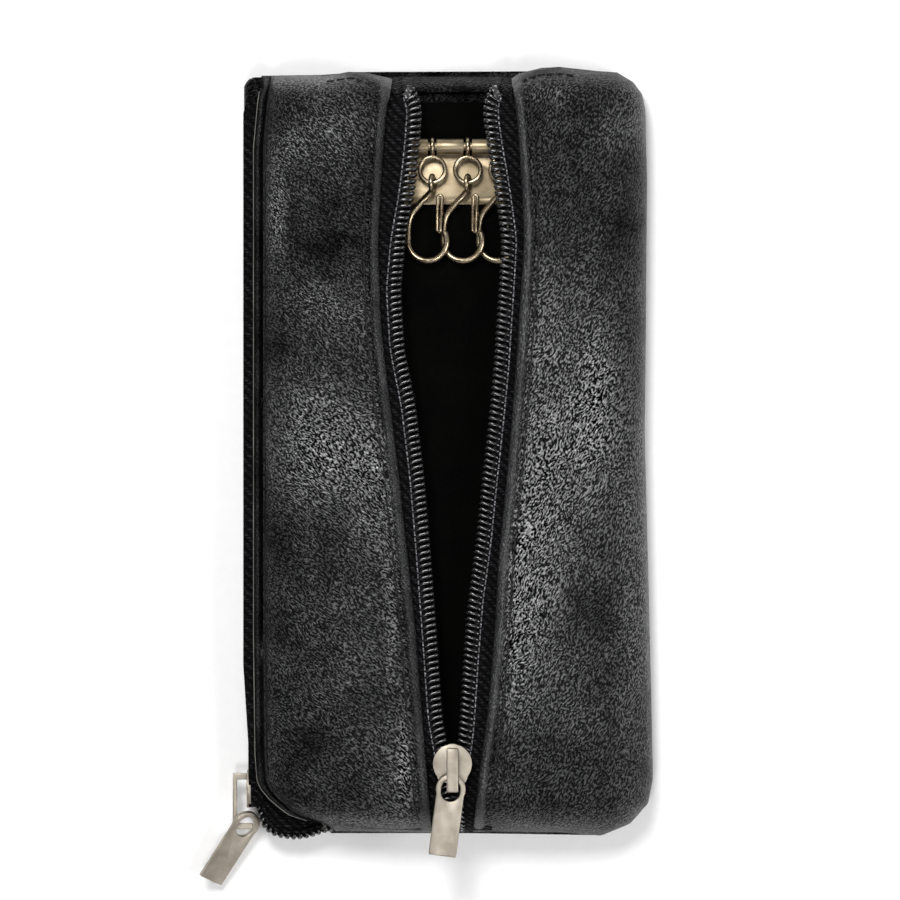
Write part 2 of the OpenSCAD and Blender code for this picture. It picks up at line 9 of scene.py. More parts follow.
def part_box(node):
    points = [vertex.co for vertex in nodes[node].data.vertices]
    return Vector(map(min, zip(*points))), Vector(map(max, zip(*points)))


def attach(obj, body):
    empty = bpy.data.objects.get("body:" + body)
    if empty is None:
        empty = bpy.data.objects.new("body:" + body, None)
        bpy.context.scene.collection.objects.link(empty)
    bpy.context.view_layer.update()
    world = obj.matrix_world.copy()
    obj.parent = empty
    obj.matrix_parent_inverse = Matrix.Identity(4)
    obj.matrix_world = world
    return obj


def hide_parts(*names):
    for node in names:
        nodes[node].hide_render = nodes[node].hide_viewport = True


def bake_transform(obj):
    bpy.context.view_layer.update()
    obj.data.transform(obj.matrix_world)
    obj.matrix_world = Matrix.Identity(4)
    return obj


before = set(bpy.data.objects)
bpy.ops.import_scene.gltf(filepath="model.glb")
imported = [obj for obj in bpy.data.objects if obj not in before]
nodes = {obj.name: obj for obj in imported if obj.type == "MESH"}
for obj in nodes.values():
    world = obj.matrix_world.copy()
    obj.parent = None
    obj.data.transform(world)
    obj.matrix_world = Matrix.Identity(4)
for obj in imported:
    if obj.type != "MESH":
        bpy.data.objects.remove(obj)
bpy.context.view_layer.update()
MM = 0.001

# Sizes of the case, as its frame has them
HALF_W, HALF_L, LEATHER_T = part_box("back_panel")[1]
DIVIDER_T = 1.0 * MM
POCKET_H = 6.0 * MM
TAPE_T = 0.6 * MM
COIL_W = 1.8 * MM
COIL_T = 1.4 * MM
TOOTH_PITCH = 1.1 * MM
FLOOR_Z = LEATHER_T + POCKET_H + DIVIDER_T
TAPE_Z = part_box("left_tape_lower")[0][2]
COIL_Z = TAPE_Z + TAPE_T / 2
TOP_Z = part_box("front_left_panel")[1][2]
SEAM_Z = LEATHER_T + DIVIDER_T + 0.1 * MM
CORNER_R = 7 * MM
FALL_TOP = 5.2 * MM
FALL_BOTTOM = 9 * MM
DIVIDER_FALL = 4.6 * MM
LEFT_ROUND = 11 * MM
RIGHT_ROUND = 10 * MM
LINING_T = 0.4 * MM

# Edges of the opening and the two coils, as shares of half the length and half the width
LEFT_EDGE = [(-1, -0.098), (-0.82, -0.123), (-0.66, -0.148), (-0.43, -0.182), (-0.27, -0.215),
             (-0.02, -0.266), (0.16, -0.311), (0.335, -0.347), (0.56, -0.362), (0.75, -0.342),
             (0.91, -0.322), (1, -0.289)]
RIGHT_EDGE = [(-1, 0.123), (-0.82, 0.153), (-0.69, 0.192), (-0.46, 0.227), (-0.27, 0.247),
              (-0.07, 0.286), (0.14, 0.321), (0.38, 0.352), (0.56, 0.375), (0.74, 0.356),
              (0.91, 0.335), (1, 0.309)]
LEFT_COIL = [(-0.86, -0.016), (-0.815, -0.022), (-0.76, -0.042), (-0.69, -0.065), (-0.46, -0.095),
             (-0.25, -0.125), (-0.06, -0.155), (0.13, -0.198), (0.275, -0.253), (0.432, -0.271),
             (0.565, -0.249), (0.69, -0.207), (0.8, -0.183), (0.9, -0.168), (0.93, -0.178), (0.97, -0.225)]
RIGHT_COIL = [(-0.86, 0.04), (-0.815, 0.046), (-0.76, 0.066), (-0.69, 0.078), (-0.54, 0.096),
              (-0.39, 0.118), (-0.235, 0.158), (-0.08, 0.187), (0.09, 0.222), (0.23, 0.247),
              (0.432, 0.272), (0.565, 0.286), (0.7, 0.251), (0.81, 0.215), (0.9, 0.192), (0.93, 0.2),
              (0.97, 0.245)]
JOIN_Y = -0.815 * HALF_L


def lookup(table, share):
    """A value between the rows of a table of shares."""
    if share <= table[0][0]:
        return table[0][1]
    for (a, b), (c, d) in zip(table, table[1:]):
        if share <= c:
            return b + (d - b) * (share - a) / (c - a)
    return table[-1][1]


def smooth(table, y, reach=0.05):
    """The table's value at a height, with its corners rounded."""
    s = y / HALF_L
    steps = (-1, -0.5, 0, 0.5, 1)
    weights = (1, 2, 3, 2, 1)
    return HALF_W * sum(w * lookup(table, s + k * reach) for k, w in zip(steps, weights)) / 9


def edge_x(side, y):
    return smooth(LEFT_EDGE if side < 0 else RIGHT_EDGE, y)


def coil_x(side, y):
    return smooth(LEFT_COIL if side < 0 else RIGHT_COIL, y, 0.03)


def rise(distance, fall):
    return 1 if distance >= fall else math.sin(math.pi / 2 * max(distance, 0) / fall)


def round_in(y):
    """How far a rounded corner of the outline stands in at this height."""
    d = max(0, CORNER_R - (HALF_L - abs(y)))
    return CORNER_R - math.sqrt(max(0, CORNER_R ** 2 - d ** 2))


def full(distance, fall, power=2.4):
    """A fuller rise than rise(), as a padded edge has."""
    s = 1 - min(1, max(0, distance / fall))
    return (1 - s ** power) ** (1 / power)


def front_rise(y):
    return full(HALF_L - y, FALL_TOP) * full(HALF_L + y, FALL_BOTTOM)


def divider_rise(y):
    return rise(HALF_L - y, DIVIDER_FALL) * rise(HALF_L + y, DIVIDER_FALL)


def floor_at(y):
    return LEATHER_T + DIVIDER_T + POCKET_H * divider_rise(y)


def top_at(y):
    low = SEAM_Z + LEATHER_T
    return low + (TOP_Z - low) * front_rise(y)


def lump(x, y, size_x, size_y, seed):
    return noise.noise(Vector((x / size_x, y / size_y, seed)))


# Colours and materials
def srgb(code):
    """A hex colour as linear values."""
    parts = [int(code[k:k + 2], 16) / 255 for k in (1, 3, 5)]
    return [*(c / 12.92 if c <= 0.04045 else ((c + 0.055) / 1.055) ** 2.4 for c in parts), 1]


def add(tree, kind, inputs=None, **settings):
    """A node with its settings; an input given as a socket is linked, any other is set."""
    made = tree.nodes.new(kind)
    for name, value in settings.items():
        setattr(made, name, value)
    for name, value in (inputs or {}).items():
        if isinstance(value, bpy.types.NodeSocket):
            tree.links.new(value, made.inputs[name])
        else:
            made.inputs[name].default_value = value
    return made


def start(name):
    material = bpy.data.materials.new(name)
    material.use_nodes = True
    tree = material.node_tree
    tree.nodes.clear()
    place = add(tree, "ShaderNodeTexCoord").outputs["Object"]
    return material, tree, place


def finish(tree, colour, roughness, bumps, **constants):
    """The shader itself, with its bumps from (height, strength, depth in metres), coarse first."""
    normal = None
    for height, strength, depth in bumps:
        inputs = {"Strength": strength, "Distance": depth, "Height": height}
        if normal:
            inputs["Normal"] = normal
        normal = add(tree, "ShaderNodeBump", inputs).outputs["Normal"]
    inputs = {"Base Color": colour, "Roughness": roughness, "Normal": normal}
    inputs.update({name.replace("_", " "): value for name, value in constants.items()})
    shader = add(tree, "ShaderNodeBsdfPrincipled", inputs)
    add(tree, "ShaderNodeOutputMaterial", {"Surface": shader.outputs["BSDF"]})


def ramp(tree, value, stops):
    made = add(tree, "ShaderNodeValToRGB", {"Fac": value})
    line = made.color_ramp.elements
    while len(line) < len(stops):
        line.new(0.5)
    for element, (at, colour) in zip(line, stops):
        element.position = at
        element.color = srgb(colour) if isinstance(colour, str) else (colour, colour, colour, 1)
    return made.outputs["Color"]


def per(size):
    """A texture's scale from the real size of its pattern, in metres."""
    return 1 / size


def grain_of(tree, vector, size, detail, **more):
    """Noise with a pattern of this real size."""
    inputs = {"Vector": vector, "Scale": per(size), "Detail": detail}
    return add(tree, "ShaderNodeTexNoise", {**inputs, **more}).outputs


def reckon(tree, operation, a, b):
    return add(tree, "ShaderNodeMath", {0: a, 1: b}, operation=operation).outputs[0]


def nappa(name, slant, grain=0.32 * MM, dark="#010101", light="#17181b", shine=3.1):
    """Milled nappa leather, drum dyed black: pebbles drawn out along the slant. Its colour holds painted
    shade in the creases, painted highlights on the crests and a painted sheen in patches, where the gloss is
    raised too.
    """
    material, tree, place = start(name)
    warp = grain_of(tree, place, 7 * MM, 1)["Color"]
    shift = add(tree, "ShaderNodeVectorMath", {0: warp, "Scale": 2.6 * MM}, operation="SCALE").outputs[0]
    warped = add(tree, "ShaderNodeVectorMath", {0: place, 1: shift}, operation="ADD").outputs[0]

    def drawn_out(*scale):
        inputs = {"Vector": warped, "Rotation": (0, 0, slant), "Scale": scale}
        return add(tree, "ShaderNodeMapping", inputs, vector_type="TEXTURE").outputs[0]

    cells = grain_of(tree, drawn_out(1.7, 0.95, 1), grain, 0.8, Roughness=0.6)["Fac"]
    pebble = ramp(tree, cells, [(0.45, 0.0), (0.67, 1.0)])
    creases = grain_of(tree, drawn_out(3.4, 0.8, 1), 1.7 * MM, 2)["Fac"]
    soft = grain_of(tree, place, 8 * MM, 2, Roughness=0.5)["Fac"]
    # The sheen attribute holds painted sheen and painted shade: it lightens or darkens the colour as well as
    # changing the gloss.
    worn = add(tree, "ShaderNodeAttribute", attribute_name="worn").outputs["Fac"]
    bloom = add(tree, "ShaderNodeMapRange", {"Value": soft, "From Min": 0.3, "From Max": 0.7,
                                             "To Min": -0.08, "To Max": 0.16}).outputs["Result"]
    painted_sheen_and_bloom = reckon(tree, "ADD", worn, bloom)
    level = add(tree, "ShaderNodeMapRange", {"Value": painted_sheen_and_bloom, "From Min": -0.15, "To Min": 0.0,
                                             "To Max": shine}).outputs["Result"]
    pressed = add(tree, "ShaderNodeAttribute", attribute_name="pressed").outputs["Fac"]
    dull = add(tree, "ShaderNodeMapRange", {"Value": painted_sheen_and_bloom, "To Min": 0.26,
                                            "To Max": 0.0}).outputs["Result"]
    even = reckon(tree, "MAXIMUM", pressed, dull)
    filled = add(tree, "ShaderNodeMix", {"Factor": even, "A": pebble, "B": 0.42}, data_type="FLOAT")
    # Painted highlight and shade: the colour is lighter on the pebble crests and near black in the creases,
    # scaled by the painted sheen.
    painted_crest_sheen = reckon(tree, "MULTIPLY", level, filled.outputs["Result"])
    colour = ramp(tree, painted_crest_sheen, [(0.0, dark), (0.9, light)])
    rough = add(tree, "ShaderNodeMapRange", {"Value": painted_sheen_and_bloom, "To Min": 0.44, "To Max": 0.33})
    finish(tree, colour, rough.outputs["Result"],
           [(soft, 0.6, 0.9 * MM), (creases, 0.6, 0.35 * MM), (cells, 1.0, 0.34 * MM)],
           Specular_IOR_Level=painted_crest_sheen)
    return material


def twill(name, dark, light, thread=0.42 * MM, depth=0.09 * MM, level=0.06):
    """Woven polyester: fine diagonal ribs, and single threads picked by noise that are drawn lighter as
    painted glints.
    """
    material, tree, place = start(name)
    ribs = add(tree, "ShaderNodeTexWave", {"Vector": place, "Scale": per(thread * 6.3), "Distortion": 0.6,
                                           "Detail": 1, "Detail Scale": 2}, bands_direction="DIAGONAL")
    cross = add(tree, "ShaderNodeTexWave", {"Vector": place, "Scale": per(thread * 4), "Distortion": 0.4},
                bands_direction="Y")
    both = reckon(tree, "MULTIPLY", ribs.outputs["Fac"], cross.outputs["Fac"])
    # Painted glints: the colour is lighter on the rib tops of threads that a noise picks.
    stray = grain_of(tree, place, 0.55 * MM, 1)["Fac"]
    painted_glint = ramp(tree, stray, [(0.48, 0.06), (0.64, 1.0)])
    seen = reckon(tree, "MULTIPLY", both, painted_glint)
    colour = ramp(tree, seen, [(0.0, dark), (0.7, light)])
    rough = ramp(tree, ribs.outputs["Fac"], [(0.0, 0.85), (1.0, 0.6)])
    finish(tree, colour, rough, [(both, 0.8, depth)], Specular_IOR_Level=level)
    return material


def nylon(name, dark="#0d0d10", light="#1b1b20"):
    """Drawn black nylon filament: round, smooth and glossy, with short bright glints."""
    material, tree, place = start(name)
    grain = grain_of(tree, place, 0.8 * MM, 3)["Fac"]
    colour = ramp(tree, grain, [(0.35, dark), (0.65, light)])
    rough = ramp(tree, grain, [(0.3, 0.12), (0.7, 0.24)])
    finish(tree, colour, rough, [(grain, 0.15, 0.04 * MM)], Specular_IOR_Level=1.0)
    return material


def satin_nickel(name, dark, light, low=0.24, high=0.38):
    """Nickel plate over tumbled zinc or steel: warm grey, a satin face and faint fine scratches."""
    material, tree, place = start(name)
    cloud = grain_of(tree, place, 2.4 * MM, 4)["Fac"]
    stretch = add(tree, "ShaderNodeMapping", {"Vector": place, "Rotation": (0.2, 0.3, 0.5),
                                              "Scale": (1, 9, 1)})
    lines = grain_of(tree, stretch.outputs[0], 0.9 * MM, 5)["Fac"]
    colour = ramp(tree, cloud, [(0.35, dark), (0.65, light)])
    rough = add(tree, "ShaderNodeMapRange", {"Value": lines, "From Min": 0.3, "From Max": 0.7,
                                             "To Min": low, "To Max": high})
    finish(tree, colour, rough.outputs["Result"], [(cloud, 0.12, 0.12 * MM), (lines, 0.08, 0.02 * MM)],
           Metallic=1.0)
    return material


def suede(name, dark="#020202", light="#040403", level=0.03):
    """Matt black pocket lining, by default darker than the cloth's own black to hold painted shade: a short
    nap with faint blotches.
    """
    material, tree, place = start(name)
    nap = grain_of(tree, place, 0.5 * MM, 4)["Fac"]
    blot = grain_of(tree, place, 9 * MM, 3)["Fac"]
    colour = ramp(tree, blot, [(0.35, dark), (0.7, light)])
    rough = ramp(tree, nap, [(0.3, 0.95), (0.7, 0.8)])
    finish(tree, colour, rough, [(blot, 0.4, 0.5 * MM), (nap, 0.4, 0.06 * MM)], Specular_IOR_Level=level)
    return material


LEFT_LEATHER = nappa("nappa_left_cut", -0.66)
RIGHT_LEATHER = nappa("nappa_right_cut", 1.05)
HEM_LEATHER = nappa("nappa_hem_cut", 0.1, shine=1.2)
# The pale edge colour also serves the loose thread ends, as a painted glint.
CUT_EDGE_AND_GLINT = suede("split_leather_edge", "#5d5b57", "#8b8883")
TAPE = twill("woven_zip_tape", "#010101", "#242428")
COIL = nylon("nylon_coil", "#050506", "#0d0d10")
THREAD = twill("bonded_thread", "#08080a", "#2c2c30", thread=0.2 * MM, depth=0.03 * MM, level=0.3)
# The lining's near-black colour is the cloth's own black darkened further with painted shade of the pockets.
LINING_WITH_PAINTED_SHADE = suede("matt_pocket_lining")
SLIDER_METAL = satin_nickel("satin_nickel_slider", "#958d81", "#aaa296", low=0.42, high=0.54)
HOOK_METAL = satin_nickel("satin_nickel_hooks", "#8d7f68", "#ae9f87", low=0.22, high=0.34)
PLATE_METAL = satin_nickel("satin_nickel_plate", "#7d7059", "#978a73", low=0.34, high=0.46)
# The coil's seam thread is drawn pale grey: a painted highlight.
COIL_THREAD = twill("pale_coil_thread", "#4c4c50", "#b4b4b8", thread=0.2 * MM, depth=0.03 * MM, level=0.4)
# The folded tape end is drawn near white: a painted highlight on the black tape's fold.
TAPE_END = twill("folded_tape_end", "#2c2c2e", "#c6c6c8", thread=0.24 * MM, depth=0.06 * MM, level=0.2)

# Outline of the leather as it lies: the left and right sides, and how far the two ends bow out
LEFT_SIDE = [(-1, -0.6), (-0.971, -0.69), (-0.95, -0.794), (-0.929, -0.843), (-0.905, -0.89),
             (-0.876, -0.933), (-0.853, -0.95), (-0.782, -0.96), (-0.484, -0.967), (0.803, -0.967),
             (0.858, -0.958), (0.924, -0.947), (0.971, -0.934), (1, -0.925)]
RIGHT_SIDE = [(-1, 0.74), (-0.971, 0.888), (-0.916, 0.976), (-0.845, 1), (-0.589, 0.99), (0.063, 0.959),
              (0.235, 0.963), (0.719, 0.971), (0.903, 0.963), (0.947, 0.947), (0.978, 0.903), (1, 0.824)]
TOP_BOW = [(-1, -0.6), (-0.6, -0.6), (-0.5, 0.1), (-0.42, 0), (-0.29, -1.1), (-0.22, -2.1), (0, -2),
           (0.28, -1.6), (0.34, -0.2), (0.45, 0.8), (0.54, 1), (0.66, 0.4), (0.82, 0), (1, -0.6)]
BOTTOM_BOW = [(-1, 1), (-0.5, 1.1), (-0.1, 0.9), (0.2, 1.1), (0.55, 0.9), (0.76, 0.3), (1, 0.9)]


def side_x(side, y):
    return HALF_W * lookup(LEFT_SIDE if side < 0 else RIGHT_SIDE, y / HALF_L)


def bowed(x, y):
    """A height along the case, bowed near its two ends as the soft leather is."""
    top = max(0, 1 - (HALF_L - y) / (14 * MM))
    low = max(0, 1 - (HALF_L + y) / (14 * MM))
    return y + MM * (lookup(TOP_BOW, x / HALF_W) * top ** 1.5 + lookup(BOTTOM_BOW, x / HALF_W) * low ** 1.5)


def laid(x, y, z):
    """Where a point of the leather lies: its low parts spread a little past its crown."""
    spread = 1 + (TOP_Z - z) / 1.2
    return (x * spread, bowed(x, y) * spread, z)


def bump(value, middle, width):
    return math.exp(-((value - middle) / width) ** 2)


def heights(end_step=0.35 * MM, step=1.3 * MM, end=10 * MM):
    """Heights of the sections along the case, closer together at both ends."""
    ys = []
    y = -HALF_L
    while y < HALF_L - 1e-7:
        ys.append(y)
        y += end_step if HALF_L - abs(y) < end else step
    return ys + [HALF_L]


def place_in_scene(name, data):
    made = bpy.data.objects.new(name, data)
    bpy.context.scene.collection.objects.link(made)
    return made


def new_piece(name, verts, faces, material, smooth=50):
    mesh = bpy.data.meshes.new(name)
    mesh.from_pydata([tuple(v) for v in verts], [], faces)
    mesh.validate()
    tidy_normals(mesh)
    made = place_in_scene(name, mesh)
    mesh.materials.append(material)
    shade(made, smooth)
    return made


def tidy_normals(mesh):
    work = bmesh.new()
    work.from_mesh(mesh)
    bmesh.ops.remove_doubles(work, verts=work.verts, dist=1e-7)
    bmesh.ops.recalc_face_normals(work, faces=work.faces)
    work.to_mesh(mesh)
    work.free()


def shade(made, angle):
    mesh = made.data
    mesh.polygons.foreach_set("use_smooth", [True] * len(mesh.polygons))
    mesh.set_sharp_from_angle(angle=math.radians(angle))


def loft(name, rings, material, closed=True, smooth=50):
    """A skin through rings of the same count of points, closed with a face at both ends."""
    n = len(rings[0])
    verts = [v for ring in rings for v in ring]
    faces = []
    for row in range(len(rings) - 1):
        for k in range(n if closed else n - 1):
            a, b = row * n + k, row * n + (k + 1) % n
            faces.append((a, b, b + n, a + n))
    if closed:
        faces.append(tuple(range(n)))
        faces.append(tuple(range(len(verts) - n, len(verts))))
    return new_piece(name, verts, faces, material, smooth)


def offset(path, t):
    """The line of (x, z) points moved sideways by t, to the right of its direction."""
    out = []
    for k, (x, z) in enumerate(path):
        ax, az = path[max(k - 1, 0)]
        bx, bz = path[min(k + 1, len(path) - 1)]
        dx, dz = bx - ax, bz - az
        long = math.hypot(dx, dz) or 1
        out.append((x + t * dz / long, z - t * dx / long))
    return out


def skin(name, section, ys, t, material, bead=1.0):
    """Leather lofted through sections of (x, z) points, with a wall of t and both long edges rounded."""
    rings = []
    for y in ys:
        outer = section(y)
        inner = offset(outer, t)
        ring = list(outer)
        for first, second, sign in ((outer, inner, 1), (inner, outer, -1)):
            (ax, az), (bx, bz) = (first[-1], second[-1]) if sign > 0 else (first[0], second[0])
            px, pz = outer[-2] if sign > 0 else outer[1]
            last_x, last_z = outer[-1] if sign > 0 else outer[0]
            ex, ez = last_x - px, last_z - pz
            long = math.hypot(ex, ez) or 1
            for k in range(1, 6):
                a = math.pi * k / 6
                mx, mz = (ax + bx) / 2, (az + bz) / 2
                ring.append((mx + (ax - mx) * math.cos(a) + ex / long * t / 2 * math.sin(a) * bead,
                             mz + (az - mz) * math.cos(a) + ez / long * t / 2 * math.sin(a) * bead))
            if sign > 0:
                ring += inner[::-1]
        rings.append([laid(x, y, z) for x, z in ring])
    return loft(name, rings, material)


# Folds of the left leather: x, lean, middle height (mm) and how high each stands (mm)
LEFT_FOLDS = [(-26, 0.06, 54, 0.34), (-21, -0.04, 47, -0.3), (-16.5, 0.1, 52, 0.3), (-29, 0.0, 20, 0.16),
              (-24, 0.05, -20, -0.2)]


def front_relief(side, x, y):
    """Soft folds, dents and puckers of a front leather, as a height to add."""
    inside = min(1, abs(x - side_x(side, y)) / (5 * MM)) * min(1, abs(x - edge_x(side, y)) / (5 * MM))
    height = 0.9 * MM * lump(x, y, 13 * MM, 21 * MM, 2.0 + side) + 0.22 * MM * lump(x, y, 5 * MM, 7 * MM, 5.0)
    if side < 0:
        for fold_x, lean, y_mid, size in LEFT_FOLDS:
            middle = fold_x * MM + lean * (y - y_mid * MM)
            height += size * MM * bump(x, middle, 1.8 * MM) * bump(y, y_mid * MM, 15 * MM)
    else:
        height += 0.45 * MM * bump(x, 19 * MM, 7 * MM) * bump(y, -30 * MM, 18 * MM)
        height -= 0.3 * MM * bump(x, 24 * MM, 4 * MM) * bump(y, 12 * MM, 26 * MM)
        height -= 0.35 * MM * bump(x, 34 * MM, 2 * MM) * bump(y, -53 * MM + 0.3 * (x - 34 * MM), 1.2 * MM)
    d = y - hem_line(side, x)
    reach = bump(x, -16.4 * MM if side < 0 else 16.5 * MM, 6.5 * MM)
    pucker = 0.3 * MM * math.sin(x / (0.36 * MM)) * bump(d, -1.1 * MM, 0.9 * MM)
    seam = -0.5 * MM * bump(d, 0, 0.55 * MM)
    return height * inside + (pucker + seam) * reach


def hem_line(side, x):
    """Height of the short stitched hem at the top of a front leather."""
    if side < 0:
        return 65.8 * MM + 2.6 * MM * min(1, max(0, (-11 * MM - x) / (10 * MM))) ** 0.8
    return 66.6 * MM + 2.6 * MM * min(1, max(0, (x - 9.8 * MM) / (13 * MM)))


def left_section(y):
    """Left front leather: a turned lip at the side seam, then a rise to the folded zip edge."""
    x0, x1 = side_x(-1, y), edge_x(-1, y)
    base, top = max(floor_at(y), SEAM_Z + 0.5 * MM), top_at(y)
    points = []
    for k in range(91):
        s = k / 90
        x = x0 + (x1 - x0) * s
        d = x - x0
        lip = 1.3 * MM * min(1, (top - base) / (4 * MM))
        across = max(0, d - 1.6 * MM) / (x1 - x0 - 1.6 * MM)
        z = base + (top - base) * (1 - (1 - across) ** 3.2) ** (1 / 3.2)
        z = max(z, base + lip * bump(d, 0.8 * MM, 0.85 * MM)) - 0.3 * MM * bump(d, 2.0 * MM, 0.5 * MM)
        z += front_relief(-1, x, y) + bead(x1 - x)
        points.append((x, z))
    return points


def bead(d):
    """The folded zip edge: a round bead, then a groove where it is stitched down."""
    return 0.45 * MM * bump(d, 0.75 * MM, 0.6 * MM) - 0.35 * MM * bump(d, 1.95 * MM, 0.5 * MM)


def crown(power, flat=0.84, steps=72, turns=18):
    """Shares across and up of a crowned panel, from its zip edge to its side, closer where it turns down."""
    out = [(flat * k / steps, (1 - (flat * k / steps) ** power) ** (1 / power)) for k in range(steps)]
    first = math.acos(flat ** (power / 2))
    for k in range(turns + 1):
        a = first * (1 - k / turns)
        out.append((math.cos(a) ** (2 / power), math.sin(a) ** (2 / power)))
    return out


CROWN = crown(3.6)


def wrap_section(y):
    """Right leather in one: folded zip edge, over the top, round the right side and across the back."""
    x0, x1 = side_x(1, y), edge_x(1, y)
    top, turn = top_at(y), 1.5 * MM
    points = []
    for s, up in CROWN:
        x = x1 + (x0 - x1) * s
        z = turn + (top - turn) * up
        fade = min(1, (1 - s) / 0.25)
        points.append((x, z + (front_relief(1, x, y) + bead(x - x1)) * fade))
    for k in range(1, 6):
        a = math.pi / 2 * k / 5
        points.append((x0 - turn * (1 - math.cos(a)), turn * (1 - math.sin(a))))
    back = side_x(-1, y) + 0.9 * MM
    for k in range(1, 61):
        x = x0 - turn + (back - x0 + turn) * k / 60
        ends = min(1, k / 6, (61 - k) / 6)
        points.append((x, 0.1 * MM * (0.5 + lump(x, y, 11 * MM, 14 * MM, 12.0)) * ends))
    return points


# Painted sheen and shade on the leather, lighter and glossier patches, with a few negative entries that paint
# shade: x, y, reach in x, reach in y (mm) and how much
PAINTED_SHEEN = [(-21.6, 59, 7, 8, 0.35), (-31.4, 45, 1.7, 10, 0.75), (-28.6, 56, 2.4, 3, 0.5), (-31, 62, 4, 5, -0.08),
        (-19, 26, 9, 5, 0.4), (-23, 2, 10, 11, 0.95), (-12, -8, 6, 15, 0.6), (-26, 68, 9, 2, 0.6),
        (-18, -36, 12, 12, 0.2), (-9, -56, 6, 12, 0.35), (17, 20, 8, 17, 0.55), (19, -4, 9, 15, 0.7),
        (14, -27, 6, 18, 0.82), (33, -22, 3, 30, 0.6), (32, 60, 5, 7, 0.5), (27, 10, 5, 12, 0.75),
        (24, -46, 8, 10, 0.2), (16, 66, 7, 2, 0.3), (22, -66, 18, 3, 0.25), (-20, -66, 12, 3, 0.2),
        (-8.2, -56, 1.1, 8, 0.9), (-10.5, -30, 1.2, 12, 0.4), (11, -28, 1.6, 20, 0.4)]


def paint_sheen_and_pressing(made):
    """Writes each point's painted sheen, with painted highlights along the folded zip edges and painted shade
    on the top hem, and how pressed smooth it is.
    """
    mesh = made.data
    worn, pressed = [], []
    for vert in mesh.vertices:
        x, y = vert.co.x / MM, vert.co.y / MM
        worn.append(sum(w * bump(x, cx, rx) * bump(y, cy, ry) for cx, cy, rx, ry, w in PAINTED_SHEEN))
        side = -1 if x < 0 else 1
        fold = bump(abs(vert.co.x - edge_x(side, vert.co.y)), 0.5 * MM, 0.95 * MM)
        lip = 1 if side < 0 and vert.co.x < side_x(-1, vert.co.y) + 2 * MM else 0
        hem = min(1, max(0, (vert.co.y - hem_line(side, vert.co.x)) / MM)) * bump(abs(x), 16, 6)
        pressed.append(max(fold, 0.7 * lip, 0.4 * hem))
        # Painted highlight along the folded zip edges, and painted shade on the top hem.
        sheen_and_edge_highlight = worn[-1] * (1 - lip) * (1 - fold) + fold * (0.36 if side > 0 else 0.2)
        worn[-1] = sheen_and_edge_highlight * (1 - hem) - 0.09 * hem
    mesh.attributes.new("worn", "FLOAT", "POINT").data.foreach_set("value", worn)
    mesh.attributes.new("pressed", "FLOAT", "POINT").data.foreach_set("value", pressed)


def dress(piece, body, slot, *replaced):
    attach(piece, body)
    if replaced:
        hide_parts(*replaced)
    return piece


YS = heights()
paint_sheen_and_pressing(dress(skin("left_front_leather", left_section, YS, LEATHER_T, LEFT_LEATHER), "root", "leather",
           "front_left_panel"))
paint_sheen_and_pressing(dress(skin("right_and_back_leather", wrap_section, YS, LEATHER_T, RIGHT_LEATHER), "root", "leather",
           "front_right_panel", "back_panel"))


def sheet_over(name, ys, line, t, material):
    """A thin sheet with a wall: line(y) gives its (x, z) points, and t is its thickness downwards."""
    rings = []
    for y in ys:
        over = line(y)
        ring = over + [(x, z - t) for x, z in over[::-1]]
        rings.append([(x, y, z) for x, z in ring])
    return loft(name, rings, material)


def between(low, high, count):
    return [low + (high - low) * k / count for k in range(count + 1)]


# Divider between the key compartment and the rear pocket, pinched at three sides
DIVIDER_LEFT, DIVIDER_RIGHT = (corner[0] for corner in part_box("divider"))
HEM_DEPTH = 3.4 * MM


def divider_line(y):
    inset = round_in(y)
    x0, x1 = max(DIVIDER_LEFT + inset, side_x(-1, y) + 0.4 * MM), DIVIDER_RIGHT - inset
    r = divider_rise(y)
    out = []
    for k in range(41):
        x = x0 + (x1 - x0) * k / 40
        z = LEATHER_T + DIVIDER_T + POCKET_H * r * rise(x1 - x, 9 * MM)
        out.append((x, z + 0.12 * MM * lump(x, y, 10 * MM, 15 * MM, 21.0) * r))
    return out


dress(sheet_over("pocket_divider", heights(0.7 * MM, 2.2 * MM), divider_line, DIVIDER_T, HEM_LEATHER),
      "root", "leather", "divider")


# Folded hem at the top of the divider, behind the hooks
def hem_section(y):
    d = (HALF_L - y) / HEM_DEPTH
    up = floor_at(y) + 0.25 * MM + 1.5 * MM * math.sin(math.pi * min(1, max(0, d))) ** 0.5
    out = []
    for k in range(37):
        x = -8.6 * MM + 17.8 * MM * k / 36
        wave = math.sin(x / (1.1 * MM) + 4 * lump(x, y, 5 * MM, 3 * MM, 30.0))
        fold = 0.2 * MM * wave * math.sin(math.pi * k / 36)
        out.append((x, up + fold))
    return out


dress(sheet_over("divider_top_hem", between(HALF_L - HEM_DEPTH, HALF_L, 12), hem_section, 0.9 * MM,
                 HEM_LEATHER), "root", "leather")


# Linings: one on the divider under the hooks, one below each front leather
def floor_lining_line(y):
    out = []
    for k in range(31):
        x = -24.5 * MM + 49 * MM * k / 30
        sag = 0.1 * MM + 0.12 * MM * lump(x, y, 8 * MM, 12 * MM, 33.0)
        out.append((x, FLOOR_Z + LINING_T + max(0, sag)))
    return out


floor_low_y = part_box("divider_lining")[0][1]
dress(sheet_over("compartment_floor_lining", between(floor_low_y, HALF_L - 5 * MM, 60), floor_lining_line,
                 0.25 * MM, LINING_WITH_PAINTED_SHADE), "root", "lining_cloth", "divider_lining")


